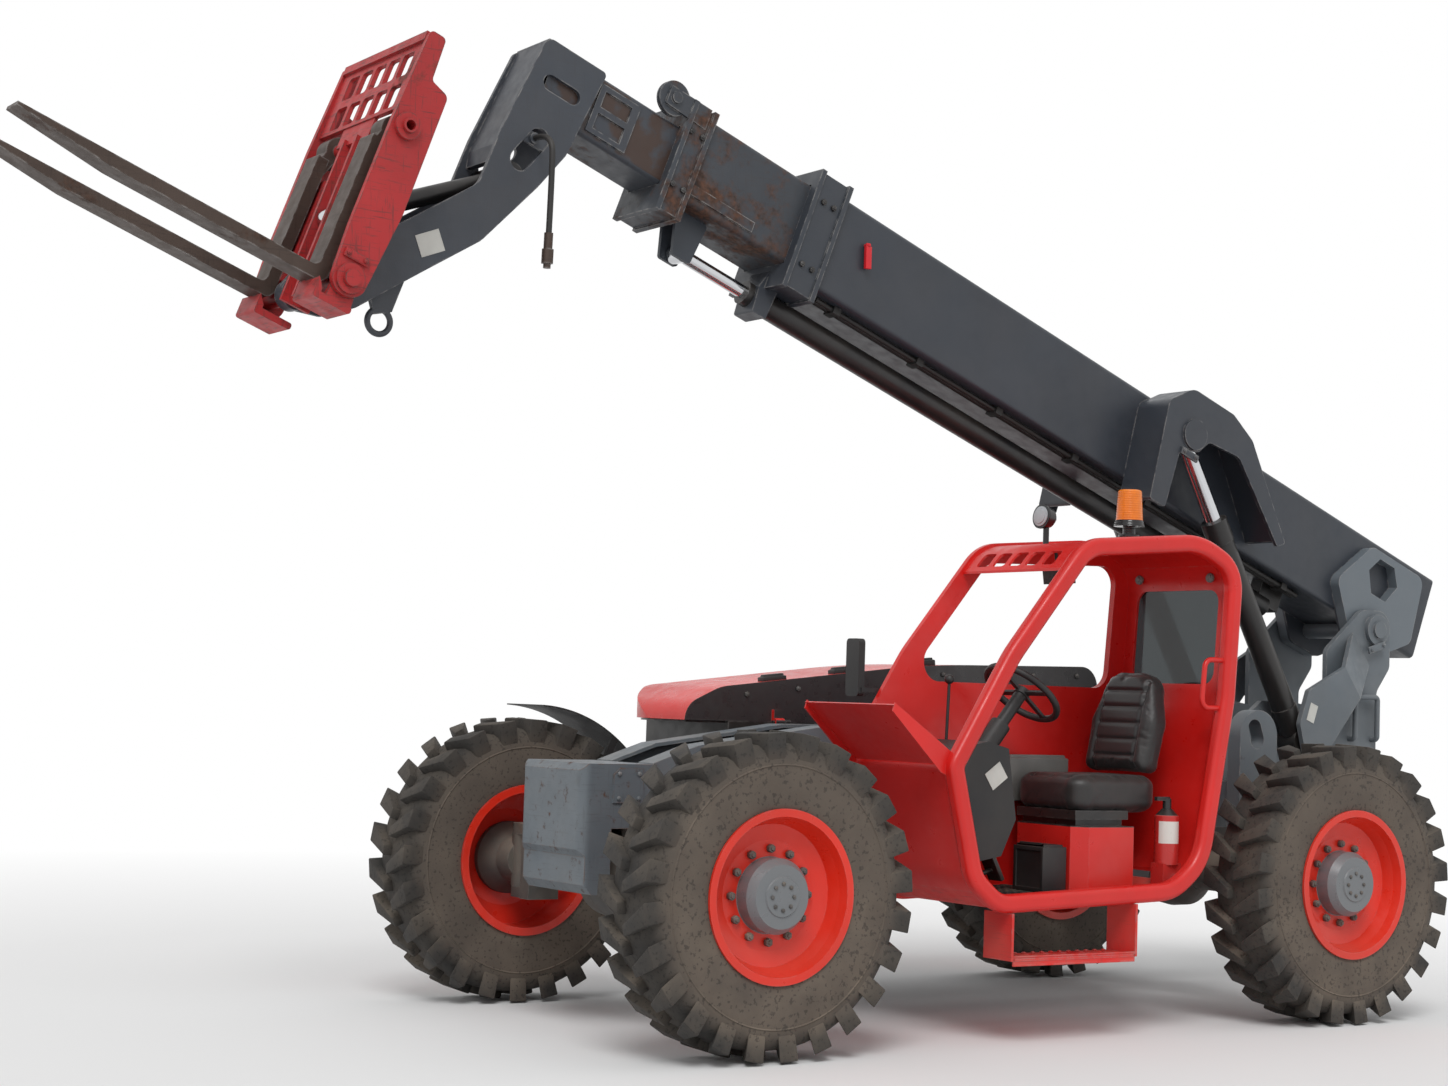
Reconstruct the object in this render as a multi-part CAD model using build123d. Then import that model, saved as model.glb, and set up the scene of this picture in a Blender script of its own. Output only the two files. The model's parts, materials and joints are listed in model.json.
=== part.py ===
"""Telehandler with a three-section boom, a side cab and four steered wheels.

Millimetres. Every piece is drawn with X forward from the middle of the wheelbase, Y to the left
and Z up from the ground, and moved along X on export so that the origin lies under the middle
of the machine's length. Boom pieces are drawn level, in the boom's own axes with the origin on
the boom pivot, and then raised to the working angle. The carriage is drawn from its tilt pin.
"""
from build123d import *
import math
import os

# Running gear
WHEELBASE = 3340
TRACK = 2060
TYRE_D = 1330
TYRE_W = 354
LUGS = 24
LUG_H = 42
LUG_REACH = 104
RIM_D = 705
RIM_W = 348
RIM_STEP = 24
RIM_WALL = 12
HUB_D = 305
DISC_INSET = 120
KINGPIN_INSET = 135
KINGPIN_R = 62
YOKE_Z = 122
YOKE_EAR = 50
SPINDLE_R = 60
SPINDLE_L = 80
STEER_ARM = 190
SADDLE_RISE = 215

# Chassis
RAIL_Y = 205
RAIL_T = 30
FLANGE_Y = 110
HITCH_R = 16.5
HITCH_BACK = 75
BELLY_Z = 560
REAR_LOW_Z = 760
RAIL_TOP_Z = 1340
NOSE_REACH = 390
NOSE_HALF_W = 266
NOSE_TOP_Z = 1156
NOSE_BEND = 45
REAR_REACH = 1170
TOWER_FOOT_Z = 1000
TOWER_Y = 262
TOWER_PLATE = 28
ARM_Y = 402

# Boom
PIVOT_REACH = 1151
PIVOT_Z = 1931
BOOM_ANGLE = 20.6
PIVOT_PIN_R = 45
BASE_HALF_W = 190
BASE_LOW = 20
BASE_HIGH = 490
BASE_REAR = -440
BASE_FRONT = 4140
MID_HALF_W = 163
MID_LOW = 58
MID_HIGH = 466
MID_REAR = 300
MID_SHOWS = 720
FLY_HALF_W = 132
FLY_LOW = 80
FLY_HIGH = 372
FLY_REAR = 850
FLY_SHOWS = 680
SECTION_WALL = 12
COLLAR_L = 190
MID_COLLAR_L = 140
COLLAR_RIB = 26
COLLAR_STEP = 10
PAD_GAP = 0.3
LINE_R = 13
LINE_Y = 122
AUX_BACK = 37
AUX_V = -60
AUX_Y = 312
AUX_HANG = 430
AUX_BOSS_R = 24
AUX_BOSS_H = 14

# Head, carriage and forks
TILT_REACH = 585
TILT_V = -1100
TILT_PIN_R = 35
HEAD_PLATE = 20
CARRIAGE_HALF_W = 412
CARRIAGE_PLATE = 28
FORK_FACE = 107
FORK_L = 1313
FORK_DROP = 40
FORK_T = 52
FORK_W = 125
FORK_Y = 262
SHAFT_FORWARD = 21
SHAFT_UP = 680
SHAFT_R = 30
REST_TOP = 1100

# Cylinders
LIFT_FOOT = 621
LIFT_BASE_Z = 1330
LIFT_EYE_U = 1713
LIFT_EYE_V = 330
LIFT_Y = 320
LIFT_BARREL_R = 68
LIFT_ROD_R = 42
LIFT_BARREL_L = 1270
LIFT_ROD_START = 520
LIFT_PIN_R = 35
LIFT_EYE_R = 58
CYL_V = -102
EXT_BARREL_R = 58
EXT_ROD_R = 32
EXT_EYE_R = 45
EXT_EYE_BACK = 285
TILT_BASE_V = -250
TILT_BASE_BACK = 10
TILT_LUG_FORWARD = 20
TILT_LUG_UP = 330
TILT_BARREL_R = 40
TILT_ROD_R = 24
TILT_BARREL_L = 665
TILT_ROD_START = 138

# Cab
CAB_RIGHT_Y = 430
CAB_LEFT_Y = 1195
CAB_TUBE = 80
CAB_TUBE_DEEP = 70
CAB_TUBE_ROUND = 26
CAB_SHEET = 12
CAB_SKIN_INSET = 14
WALL_T = 25
BAY_DRAWN = 1005
STEERING_R = 180
SEAT_Z = 1000
SEAT_CUSHION_H = 150
SEAT_EDGE = 32
DASH_Y0 = 560
DASH_Y1 = 960

# Engine bay
POD_INNER_Y = -436
POD_OUTER_Y = -1165
POD_TYRE_GAP = 155
POD_LOW_Z = 620
POD_TOP_Z = 1345
HOOD_NOSE = 250
HOOD_TAIL = 650
HOOD_REAR_Z = 1430
HOOD_CORNER = 110
HOOD_SWEEP = 430
HOOD_ROUND = 85
SHEET = 6
HINGE_OUT = 22
HINGE_PIN_R = 9
HINGE_R = 20

# Clearances
FIT = 0.3
SEAL = 0.4
RUN = 8

AXLE_X = WHEELBASE / 2
WHEEL_Y = TRACK / 2
WHEEL_R = TYRE_D / 2
BAY = AXLE_X - WHEEL_R
KINGPIN_Y = WHEEL_Y - KINGPIN_INSET
TRUNNION_Z = WHEEL_R + SADDLE_RISE
FRAME_FRONT_X = AXLE_X + 20
NOSE_X = AXLE_X + NOSE_REACH
REAR_X = -AXLE_X - REAR_REACH
PIVOT_X = -AXLE_X - PIVOT_REACH
LIFT_BASE_X = PIVOT_X + LIFT_FOOT
MID_FRONT = BASE_FRONT + MID_SHOWS
FLY_FRONT = MID_FRONT + FLY_SHOWS
EXT_EYE_U = MID_FRONT - EXT_EYE_BACK
AUX_U = FLY_FRONT - AUX_BACK
TILT_U = FLY_FRONT + TILT_REACH
TILT_BASE_U = FLY_FRONT - TILT_BASE_BACK
TILT_LUG_U = TILT_U + TILT_LUG_FORWARD
TILT_LUG_V = TILT_V + TILT_LUG_UP
FORK_TIP_U = TILT_U + FORK_FACE + FORK_L
FORK_LOW_V = TILT_V - FORK_DROP
POD_FRONT_X = BAY - POD_TYRE_GAP
POD_REAR_X = -POD_FRONT_X
HOOD_FRONT_X = POD_FRONT_X + HOOD_NOSE
HOOD_REAR_X = POD_REAR_X - HOOD_TAIL
HINGE_Y = POD_INNER_Y + HINGE_OUT
LIFT = math.radians(BOOM_ANGLE)
FRONT_X = PIVOT_X + FORK_TIP_U * math.cos(LIFT) - (FORK_LOW_V + FORK_T / 2) * math.sin(LIFT)
BACK_X = PIVOT_X + BASE_REAR * math.cos(LIFT) - BASE_HIGH * math.sin(LIFT)
ORIGIN_X = (FRONT_X + BACK_X) / 2
BOOM = Pos(PIVOT_X, 0, PIVOT_Z) * Rot(0, -BOOM_ANGLE, 0)
CARRIAGE = BOOM * Pos(TILT_U, 0, TILT_V)


def outline(points, radius=0):
    """A closed outline with its corners rounded, by one radius or one for each point."""
    face = make_face(Polyline(*points, close=True))
    radii = radius if isinstance(radius, list) else [radius] * len(points)
    for point, corner_r in zip(points, radii):
        if corner_r:
            face = fillet(face.vertices().sort_by_distance((point[0], point[1], 0))[0], corner_r)
    return face


def slab(face, y0, y1):
    """A face drawn in X and Z, as a solid between two Y planes."""
    return Pos(0, y0, 0) * extrude(Plane.XZ * face, amount=y1 - y0, dir=(0, 1, 0))


def plate(points, y0, y1, radius=0):
    return slab(outline(points, radius), y0, y1)


def block(x0, x1, y0, y1, z0, z1):
    return Pos((x0 + x1) / 2, (y0 + y1) / 2, (z0 + z1) / 2) * Box(x1 - x0, y1 - y0, z1 - z0)


def cross_pin(x, z, radius, y0, y1):
    """A round bar along Y."""
    return Pos(x, (y0 + y1) / 2, z) * Rot(90, 0, 0) * Cylinder(radius, y1 - y0)


def post(x, y, radius, z0, z1):
    return Pos(x, y, (z0 + z1) / 2) * Cylinder(radius, z1 - z0)


def bar(start, end, radius):
    """A round bar from one point to another."""
    run = Vector(*end) - Vector(*start)
    return extrude(Plane(origin=start, z_dir=run) * Circle(radius), amount=run.length)


def tube_along(points, radius, bend):
    """A round tube swept through points, bent at each corner."""
    path = FilletPolyline(*points, radius=bend)
    return sweep(Plane(origin=path @ 0, z_dir=path % 0) * Circle(radius), path=path)


def both_sides(solid):
    return solid + mirror(solid, about=Plane.XZ)


def pair(solid):
    return Compound([solid, mirror(solid, about=Plane.XZ)])


def turned(points):
    """A solid turned about the Y axis, from points of radius and Y."""
    return revolve(Plane.XY * outline(points), axis=Axis.Y)


def polyhedron(loops):
    return Solid(Shell([Face(Wire.make_polygon(loop, close=True)) for loop in loops]))


# Wheels, drawn at the origin with the outer side towards +Y

def around(angle, radius, y):
    turn = math.radians(angle)
    return (radius * math.cos(turn), y, radius * math.sin(turn))


def lug_corners(base, side):
    """Corners of one traction lug and of the carcass under it, from the lug's first angle."""
    half = TYRE_W / 2
    crown = WHEEL_R - LUG_H
    pitch = 360 / LUGS
    seat = (RIM_D / 2 - RIM_STEP + FIT) / math.cos(math.radians(pitch / 2))
    bulge = RIM_D / 2 + 0.32 * (WHEEL_R - RIM_D / 2)
    shares = {
        "foot": ((0.48, 0.92), WHEEL_R - LUG_REACH, half - 10),
        "shoulder": ((0.48, 0.92), crown - 6, half - 52),
        "centre": ((0.06, 0.39), crown, 12),
        "top": ((0.09, 0.36), WHEEL_R, 14),
        "end": ((0.51, 0.88), WHEEL_R - 3, half),
        "wall": ((0.7,), bulge, half - 8),
        "bead": ((0.7,), seat, RIM_W / 2 - RIM_WALL - 7),
    }
    return {name: [around(base + pitch * s, radius, side * y) for s in spots]
            for name, (spots, radius, y) in shares.items()}


def strip(left, right):
    """Triangles between two rings of angles and points."""
    count = len(left)
    loops = []
    i = 0
    j = 0
    while i < count or j < count:
        a, b = left[i % count], right[j % count]
        next_a, next_b = left[(i + 1) % count], right[(j + 1) % count]
        turn_a = next_a[0] + 360 * ((i + 1) // count)
        turn_b = next_b[0] + 360 * ((j + 1) // count)
        if j >= count or (i < count and turn_a <= turn_b):
            loops.append([a[1], next_a[1], b[1]])
            i += 1
        else:
            loops.append([a[1], next_b[1], b[1]])
            j += 1
    return loops


def tyre():
    """Tyre with slanted traction lugs, staggered from side to side, on a faceted carcass."""
    pitch = 360 / LUGS
    loops = []
    rings = {}
    for side in (1, -1):
        centre_ring = []
        bead_ring = []
        for k in range(LUGS):
            base = pitch * k + (0 if side > 0 else pitch / 2)
            lug = lug_corners(base, side)
            after = lug_corners(base + pitch, side)
            (fa, fb), (sa, sb), (ca, cb) = lug["foot"], lug["shoulder"], lug["centre"]
            (ta, tb), (ea, eb) = lug["top"], lug["end"]
            fn, sn, cn = after["foot"][0], after["shoulder"][0], after["centre"][0]
            wall, bead = lug["wall"][0], lug["bead"][0]
            next_wall, next_bead = after["wall"][0], after["bead"][0]
            loops += [[fb, fn, sn], [fb, sn, sb], [sb, sn, cn], [sb, cn, cb]]
            loops += [[ta, tb, eb], [ta, eb, ea], [ea, eb, fb], [ea, fb, fa], [ta, tb, cb], [ta, cb, ca]]
            loops += [[fa, ea, sa], [ea, ta, sa], [ta, ca, sa], [fb, eb, sb], [eb, tb, sb], [tb, cb, sb]]
            loops += [[wall, fa, fb], [wall, fb, next_wall], [fb, fn, next_wall]]
            loops += [[wall, next_wall, next_bead, bead]]
            centre_ring += [(base + pitch * 0.06, ca), (base + pitch * 0.39, cb)]
            bead_ring += [(base + pitch * 0.7, bead)]
        rings[side] = (centre_ring, bead_ring)
    for left, right in zip(rings[1], rings[-1]):
        loops += strip(left, right)
    return polyhedron(loops)


def rim():
    """Deep-dished rim with its hub and planetary cap in one turning."""
    flange = RIM_D / 2
    seat = flange - RIM_STEP
    barrel = seat - RIM_WALL
    half = RIM_W / 2
    disc = half - DISC_INSET
    hub = HUB_D / 2
    bore = SPINDLE_R + FIT
    return turned([
        (barrel, -half), (flange, -half), (flange, -half + RIM_WALL), (seat, -half + RIM_WALL),
        (seat, half - RIM_WALL), (flange, half - RIM_WALL), (flange, half), (barrel + 4, half),
        (barrel - 8, half - 40), (barrel - 30, disc + 30), (hub + 70, disc + 14), (hub, disc + 14),
        (hub, half - 40), (hub - 24, half - 6), (hub - 70, half - 6), (hub - 74, half),
        (0, half), (0, disc + SPINDLE_L + RUN), (bore, disc + SPINDLE_L + RUN), (bore, disc),
        (hub + 76, disc), (barrel, disc - 20)])


def knuckle():
    """Steering knuckle for a left wheel: kingpin barrel, hub carrier, spindle and steering arm."""
    face = RIM_W / 2 - DISC_INSET - RUN
    king = -KINGPIN_INSET
    barrel = post(0, king, KINGPIN_R, FIT - YOKE_Z, YOKE_Z - FIT)
    carrier = turned([
        (0, king), (90, king), (108, king + 60), (112, king + 78), (170, face - 30), (170, face),
        (SPINDLE_R, face), (SPINDLE_R, face + SPINDLE_L), (0, face + SPINDLE_L)])
    arm = block(-STEER_ARM, 0, king - 30, king + 30, -40, 0)
    return barrel + carrier + arm


def axle():
    """Drive axle about its own centre: housing, tapered arms and kingpin yokes."""
    arm_end = KINGPIN_Y - KINGPIN_R - 93
    housing = turned([(0, -200), (110, -190), (190, -90), (200, 0), (190, 90), (110, 190), (0, 200)])
    arms = turned([
        (0, -arm_end), (78, -arm_end), (78, -arm_end + 220), (105, -300), (105, 300), (78, arm_end - 220),
        (78, arm_end), (0, arm_end)])
    pinion = bar((0, 0, 0), (-260, 0, 0), 92) + bar((-260, 0, 0), (-300, 0, 0), 60)
    yoke = block(-80, 80, arm_end - 30, arm_end + 50, -YOKE_Z - YOKE_EAR, YOKE_Z + YOKE_EAR)
    for low in (YOKE_Z, -YOKE_Z - YOKE_EAR):
        yoke += block(-60, 60, arm_end + 45, KINGPIN_Y, low, low + YOKE_EAR)
        yoke += post(0, KINGPIN_Y, KINGPIN_R - 2, low, low + YOKE_EAR)
    saddle = block(-150, 150, RAIL_Y, RAIL_Y + RAIL_T, 60, SADDLE_RISE - FIT)
    return housing + arms + pinion + both_sides(yoke + saddle)


# Chassis

def main_frame():
    """Two plate rails on a belly pan, with bulkheads, cab and pod outriggers and a tow clevis."""
    saddle_in = AXLE_X - 340
    saddle_out = AXLE_X + 340
    rise = AXLE_X - 440
    crest = AXLE_X - 910
    slope = AXLE_X - 210
    front = FRAME_FRONT_X
    rail = plate([
        (REAR_X, REAR_LOW_Z), (REAR_X, 1450), (PIVOT_X + 561, 1530), (PIVOT_X + 791, 1530),
        (PIVOT_X + 1021, RAIL_TOP_Z + 20), (crest, RAIL_TOP_Z), (slope, 1240), (front, 1160),
        (front, TRUNNION_Z), (saddle_in, TRUNNION_Z), (rise, BELLY_Z), (-rise, BELLY_Z),
        (-saddle_in, TRUNNION_Z), (-saddle_out, TRUNNION_Z), (-saddle_out - 100, REAR_LOW_Z)],
        RAIL_Y, RAIL_Y + RAIL_T)
    flange = plate([
        (crest - 1060, RAIL_TOP_Z + 9), (crest, RAIL_TOP_Z), (slope, 1240), (front, 1160), (front, 1144),
        (slope - 3, 1224), (crest - 3, RAIL_TOP_Z - 16), (crest - 1060, RAIL_TOP_Z - 7)], FLANGE_Y, RAIL_Y)
    frame = both_sides(rail + flange)
    for x in (bay(-400), bay(300)):
        frame += block(x, x + 100, RAIL_Y + RAIL_T, CAB_RIGHT_Y - FIT, 640, 740)
        frame += block(x, x + 100, POD_INNER_Y + FIT, -RAIL_Y - RAIL_T, 660, 760)
    for z in (800, 870):
        clevis = outline([(REAR_X, -90), (REAR_X, 90), (REAR_X - 130, 55), (REAR_X - 130, -55)])
        frame += Pos(0, 0, z) * extrude(clevis, amount=30)
    frame -= post(REAR_X - HITCH_BACK, 0, HITCH_R, 700, 1000)
    frame += block(-rise, rise, -RAIL_Y, RAIL_Y, BELLY_Z, BELLY_Z + 14)
    for x in (-rise - 10, -10, rise - 10):
        frame += block(x, x + 20, -RAIL_Y, RAIL_Y, BELLY_Z, 1000)
    frame += block(saddle_in + 10, front, -RAIL_Y, RAIL_Y, TRUNNION_Z + 20, TRUNNION_Z + 40)
    frame += block(REAR_X, REAR_X + 25, -RAIL_Y, RAIL_Y, REAR_LOW_Z, 1440)
    return frame + tie_lug()


def tie_lug():
    """Round-topped lug behind the cab, with an oval eye, on a stub from the left rail."""
    x = -AXLE_X - 45
    z = 1350
    lug = plate([(x - 130, z), (x + 130, z), (x + 130, 900), (x - 130, 900)], CAB_RIGHT_Y + 5,
                CAB_RIGHT_Y + 90)
    lug += cross_pin(x, z, 130, CAB_RIGHT_Y + 5, CAB_RIGHT_Y + 90)
    lug -= slab(Pos(x + 20, z + 10) * Rot(0, 0, 70) * SlotOverall(150, 92), CAB_RIGHT_Y, CAB_RIGHT_Y + 100)
    return lug + block(x - 110, x + 110, RAIL_Y + RAIL_T, CAB_RIGHT_Y + 10, 960, 1120)


def frame_nose():
    """Bent nose box in front of the axle, with a set-back apron and a side cover."""
    back = FRAME_FRONT_X + FIT
    nose = plate([
        (back, TRUNNION_Z), (back, NOSE_TOP_Z), (NOSE_X - 30, NOSE_TOP_Z), (NOSE_X, NOSE_TOP_Z - 30),
        (NOSE_X, 790), (NOSE_X - 25, 760), (NOSE_X - 25, 640), (NOSE_X - 60, 600), (NOSE_X - 150, 600),
        (NOSE_X - 150, TRUNNION_Z)], -NOSE_HALF_W, NOSE_HALF_W)
    upright = nose.edges().filter_by(Axis.Z).group_by(Axis.X)[-1]
    nose = fillet(upright, NOSE_BEND)
    cover = plate([(back + 70, 990), (back + 220, 990), (back + 220, 1110), (back + 190, 1138),
                   (back + 70, 1138)],
                  NOSE_HALF_W - 1, NOSE_HALF_W + 8)
    return nose + both_sides(cover)


def boom_tower():
    """Two uprights with the boom pivot, and folded arms that carry the feet of the lift cylinders."""
    tip = PIVOT_X - 119
    upright = plate([
        (tip, PIVOT_Z - 201), (tip, PIVOT_Z + 104), (PIVOT_X + 101, PIVOT_Z + 104),
        (PIVOT_X + 371, PIVOT_Z - 120), (PIVOT_X + 371, PIVOT_Z - 420), (PIVOT_X + 421, TOWER_FOOT_Z),
        (REAR_X, TOWER_FOOT_Z), (REAR_X, PIVOT_Z - 331)],
        TOWER_Y, TOWER_Y + TOWER_PLATE, [60, 95, 95, 60, 60, 20, 20, 60])
    out = ARM_Y + TOWER_PLATE
    arm = plate([
        (LIFT_BASE_X + 30, LIFT_BASE_Z + 262), (LIFT_BASE_X + 92, LIFT_BASE_Z + 90),
        (LIFT_BASE_X + 40, LIFT_BASE_Z - 95),
        (LIFT_BASE_X - 80, LIFT_BASE_Z - 95), (LIFT_BASE_X - 360, LIFT_BASE_Z + 230),
        (LIFT_BASE_X - 240, LIFT_BASE_Z + 390)], ARM_Y, out, [20, 40, 60, 60, 0, 0])
    crease = [(LIFT_BASE_X - 240, LIFT_BASE_Z + 390), (LIFT_BASE_X - 360, LIFT_BASE_Z + 230)]
    seat = [(PIVOT_X + 171, PIVOT_Z - 21), (PIVOT_X + 41, PIVOT_Z - 191)]
    arm += loft([edge_on(crease, ARM_Y, out), edge_on(seat, TOWER_Y + 1, TOWER_Y + TOWER_PLATE + 1)],
                ruled=True)
    foot_pin = cross_pin(LIFT_BASE_X, LIFT_BASE_Z, LIFT_PIN_R, RAIL_Y + RAIL_T + FIT, ARM_Y + 1)
    shelf = block(REAR_X, PIVOT_X + 421, RAIL_Y + RAIL_T + FIT, TOWER_Y + 1, TOWER_FOOT_Z, TOWER_FOOT_Z + 25)
    near = REAR_X + 209
    far = REAR_X + 39
    bracket = tube_along([
        (near, TOWER_Y + 20, 1345), (near, TOWER_Y + 70, 1345), (near, TOWER_Y + 70, 1570),
        (far, TOWER_Y + 70, 1570), (far, TOWER_Y + 70, 1345), (far, TOWER_Y + 20, 1345)], 14, 20)
    boss = cross_pin(PIVOT_X, PIVOT_Z, 82, TOWER_Y + TOWER_PLATE - 1, TOWER_Y + TOWER_PLATE + 26)
    pin = cross_pin(PIVOT_X, PIVOT_Z, PIVOT_PIN_R, -TOWER_Y - 70, TOWER_Y + 70)
    return both_sides(upright + arm + foot_pin + shelf + bracket + boss) + pin


def edge_on(line, y0, y1):
    """The flat face between two Y planes over a line in X and Z."""
    (xa, za), (xb, zb) = line
    return make_face(Polyline((xa, y0, za), (xb, y0, zb), (xb, y1, zb), (xa, y1, za), close=True))


def counterweight():
    return block(REAR_X + 25 + FIT, REAR_X + 510, -RAIL_Y + FIT, RAIL_Y - FIT, REAR_LOW_Z + 30, 1400)


# Engine bay on the right

def hinge_spots():
    third = (POD_FRONT_X - POD_REAR_X) / 3
    return (POD_REAR_X + 0.4 * third, POD_REAR_X + 1.4 * third, POD_REAR_X + 2.4 * third)


def engine_pod():
    """Open tub with a shelf under each end of the hood and the hinge pins on its inner wall."""
    tub = block(POD_REAR_X, POD_FRONT_X, POD_OUTER_Y, POD_INNER_Y, POD_LOW_Z, POD_TOP_Z)
    tub -= block(POD_REAR_X + SHEET, POD_FRONT_X - SHEET, POD_OUTER_Y + SHEET, POD_INNER_Y - SHEET,
                 POD_LOW_Z + SHEET, POD_TOP_Z + 1)
    step = HOOD_REAR_Z - SEAL
    shelf = plate([
        (POD_REAR_X + 1, POD_TOP_Z - 20), (POD_REAR_X - 72, step - 10), (HOOD_REAR_X + 30, step - 10),
        (HOOD_REAR_X + 30, step), (POD_REAR_X - 64, step), (POD_REAR_X + 1, POD_TOP_Z - 2)],
        POD_OUTER_Y + 20, POD_INNER_Y - 20)
    tray = block(POD_FRONT_X - 1, HOOD_FRONT_X, POD_OUTER_Y, POD_INNER_Y, POD_TOP_Z - 10, POD_TOP_Z - 2)
    shelf += tray & extrude(hood_plan(20), amount=3000)
    pod = tub + shelf
    for x in hinge_spots():
        pod += block(x, x + 30, POD_INNER_Y - 1, HINGE_Y, POD_TOP_Z - HINGE_R, POD_TOP_Z - 2)
        pod += bar((x, HINGE_Y, POD_TOP_Z), (x + 30, HINGE_Y, POD_TOP_Z), HINGE_R - 6)
        pod += bar((x + 10, HINGE_Y, POD_TOP_Z), (x + 100, HINGE_Y, POD_TOP_Z), HINGE_PIN_R)
    return pod


def engine_block():
    return block(POD_REAR_X + 300, POD_FRONT_X - 370, POD_OUTER_Y + 115, POD_INNER_Y - 124,
                 POD_LOW_Z + SHEET + FIT, POD_TOP_Z - 105)


def hood_plan(inset):
    """Plan of the hood, with its outer front corner swept back to clear the steered tyre."""
    x0 = HOOD_REAR_X + inset
    x1 = HOOD_FRONT_X - inset
    y0 = POD_OUTER_Y + inset
    y1 = POD_INNER_Y - inset
    return outline([(x0, y0), (x1, y0), (x1, y1), (x0, y1)], [0, HOOD_SWEEP - inset, 0, 0])


def hood_form(inset, drop, round_r):
    """The hood as a full body, drawn inset from the outside, with its open edge let down by a drop."""
    low = POD_TOP_Z + SEAL - drop
    rear_low = HOOD_REAR_Z - drop
    nose_r = HOOD_CORNER - inset
    face = outline([
        (HOOD_FRONT_X - inset, low), (HOOD_FRONT_X - 12 - inset, 1420 - inset),
        (HOOD_FRONT_X - 200, 1507 - inset),
        (HOOD_FRONT_X - 1450, 1655 - inset), (HOOD_REAR_X + inset, 1682 - inset),
        (HOOD_REAR_X + inset, rear_low),
        (POD_REAR_X - 60, rear_low), (POD_REAR_X, low)], [0, nose_r, 260, 6000, nose_r, 0, 0, 0])
    body = slab(face, POD_OUTER_Y + inset, POD_INNER_Y - inset)
    rim_edges = body.edges().filter_by(
        lambda e: e.center().Y < POD_OUTER_Y + inset + 1 and e.center().Z > rear_low + 5)
    return fillet(rim_edges, round_r) & extrude(hood_plan(inset), amount=3000)


def hood():
    """Engine hood, a rounded sheet shell hinged along its inner edge."""
    shell = hood_form(0, 0, HOOD_ROUND) - hood_form(SHEET, 60, HOOD_ROUND - SHEET)
    for x in hinge_spots():
        knuckle_x = x + 30 + RUN
        shell += block(knuckle_x, x + 90, POD_INNER_Y - 2, HINGE_Y, POD_TOP_Z + 4, POD_TOP_Z + 60)
        shell += bar((knuckle_x, HINGE_Y, POD_TOP_Z), (x + 90, HINGE_Y, POD_TOP_Z), HINGE_R)
        shell -= bar((knuckle_x - 1, HINGE_Y, POD_TOP_Z), (x + 91, HINGE_Y, POD_TOP_Z), HINGE_PIN_R + FIT)
    return shell


# Cab on the left. Its side view is drawn for a bay of BAY_DRAWN each way and follows the real bay.

def bay(x):
    return x * BAY / BAY_DRAWN


CAB_SIDE = [
    (533, 570), (-521, 610), (-718, 755), (-863, 1520), (-905, 2144), (-640, 2270), (75, 2206),
    (503, 1697), (818, 1202), (690, 700)]
CAB_LOOP = [(bay(x), z) for x, z in CAB_SIDE]
CAB_LOOP_R = [200, 300, 300, 400, 200, 400, 250, 600, 100, 200]
CAB_IN_Y0 = CAB_RIGHT_Y + WALL_T + FIT
CAB_IN_Y1 = CAB_LEFT_Y - CAB_TUBE_DEEP - FIT


def cab_profile(inset):
    face = outline(CAB_LOOP, CAB_LOOP_R)
    if inset:
        face = offset(face, -inset)
    return face


def cab_left_frame():
    """Door loop: one rounded tube swept round the cab's side view, with a grab handle at the rear."""
    ring = (Plane.XZ * cab_profile(CAB_TUBE / 2)).face().outer_wire()
    tube = Plane(origin=ring @ 0, x_dir=(0, 1, 0), z_dir=ring % 0) * RectangleRounded(
        CAB_TUBE_DEEP, CAB_TUBE, CAB_TUBE_ROUND)
    loop = Pos(0, CAB_LEFT_Y - CAB_TUBE_DEEP / 2, 0) * sweep(tube, path=ring)
    y = CAB_LEFT_Y - CAB_TUBE_DEEP / 2
    x = bay(-820)
    handle = tube_along([(x, y, 1480), (x + 150, y, 1480), (x + 130, y, 1700), (x - 20, y, 1700)], 12, 40)
    return loop + handle


def cab_right_wall():
    """Right side wall: one panel with its window, and a rib round the opening."""
    wall = slab(cab_profile(0), CAB_RIGHT_Y, CAB_RIGHT_Y + WALL_T)
    opening = outline([(bay(-740), 1560), (bay(-790), 2150), (bay(20), 2120), (bay(490), 1560)], 90)
    wall += slab(offset(opening, 30), CAB_RIGHT_Y - 8, CAB_RIGHT_Y + 1)
    return wall - slab(opening, CAB_RIGHT_Y - 10, CAB_RIGHT_Y + WALL_T + 1)


def cab_skin():
    """Floor, rear, roof and front sheets in one band round the cab's outline."""
    band = cab_profile(CAB_SKIN_INSET) - cab_profile(CAB_SKIN_INSET + CAB_SHEET)
    return slab(band, CAB_IN_Y0, CAB_IN_Y1)


def cab_floor(skin):
    return skin & block(bay(-640), bay(620), 0, 2000, 0, 690)


def cab_rear_wall(skin):
    """Rear wall with a rounded window."""
    wall = skin & block(-2000, bay(-640) - FIT, 0, 2000, 0, 2140)
    pane = Plane.YZ * (Pos((CAB_IN_Y0 + CAB_IN_Y1) / 2, 1810) * RectangleRounded(540, 440, 60))
    return wall - Pos(-2000, 0, 0) * extrude(pane, amount=2000)


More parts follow.
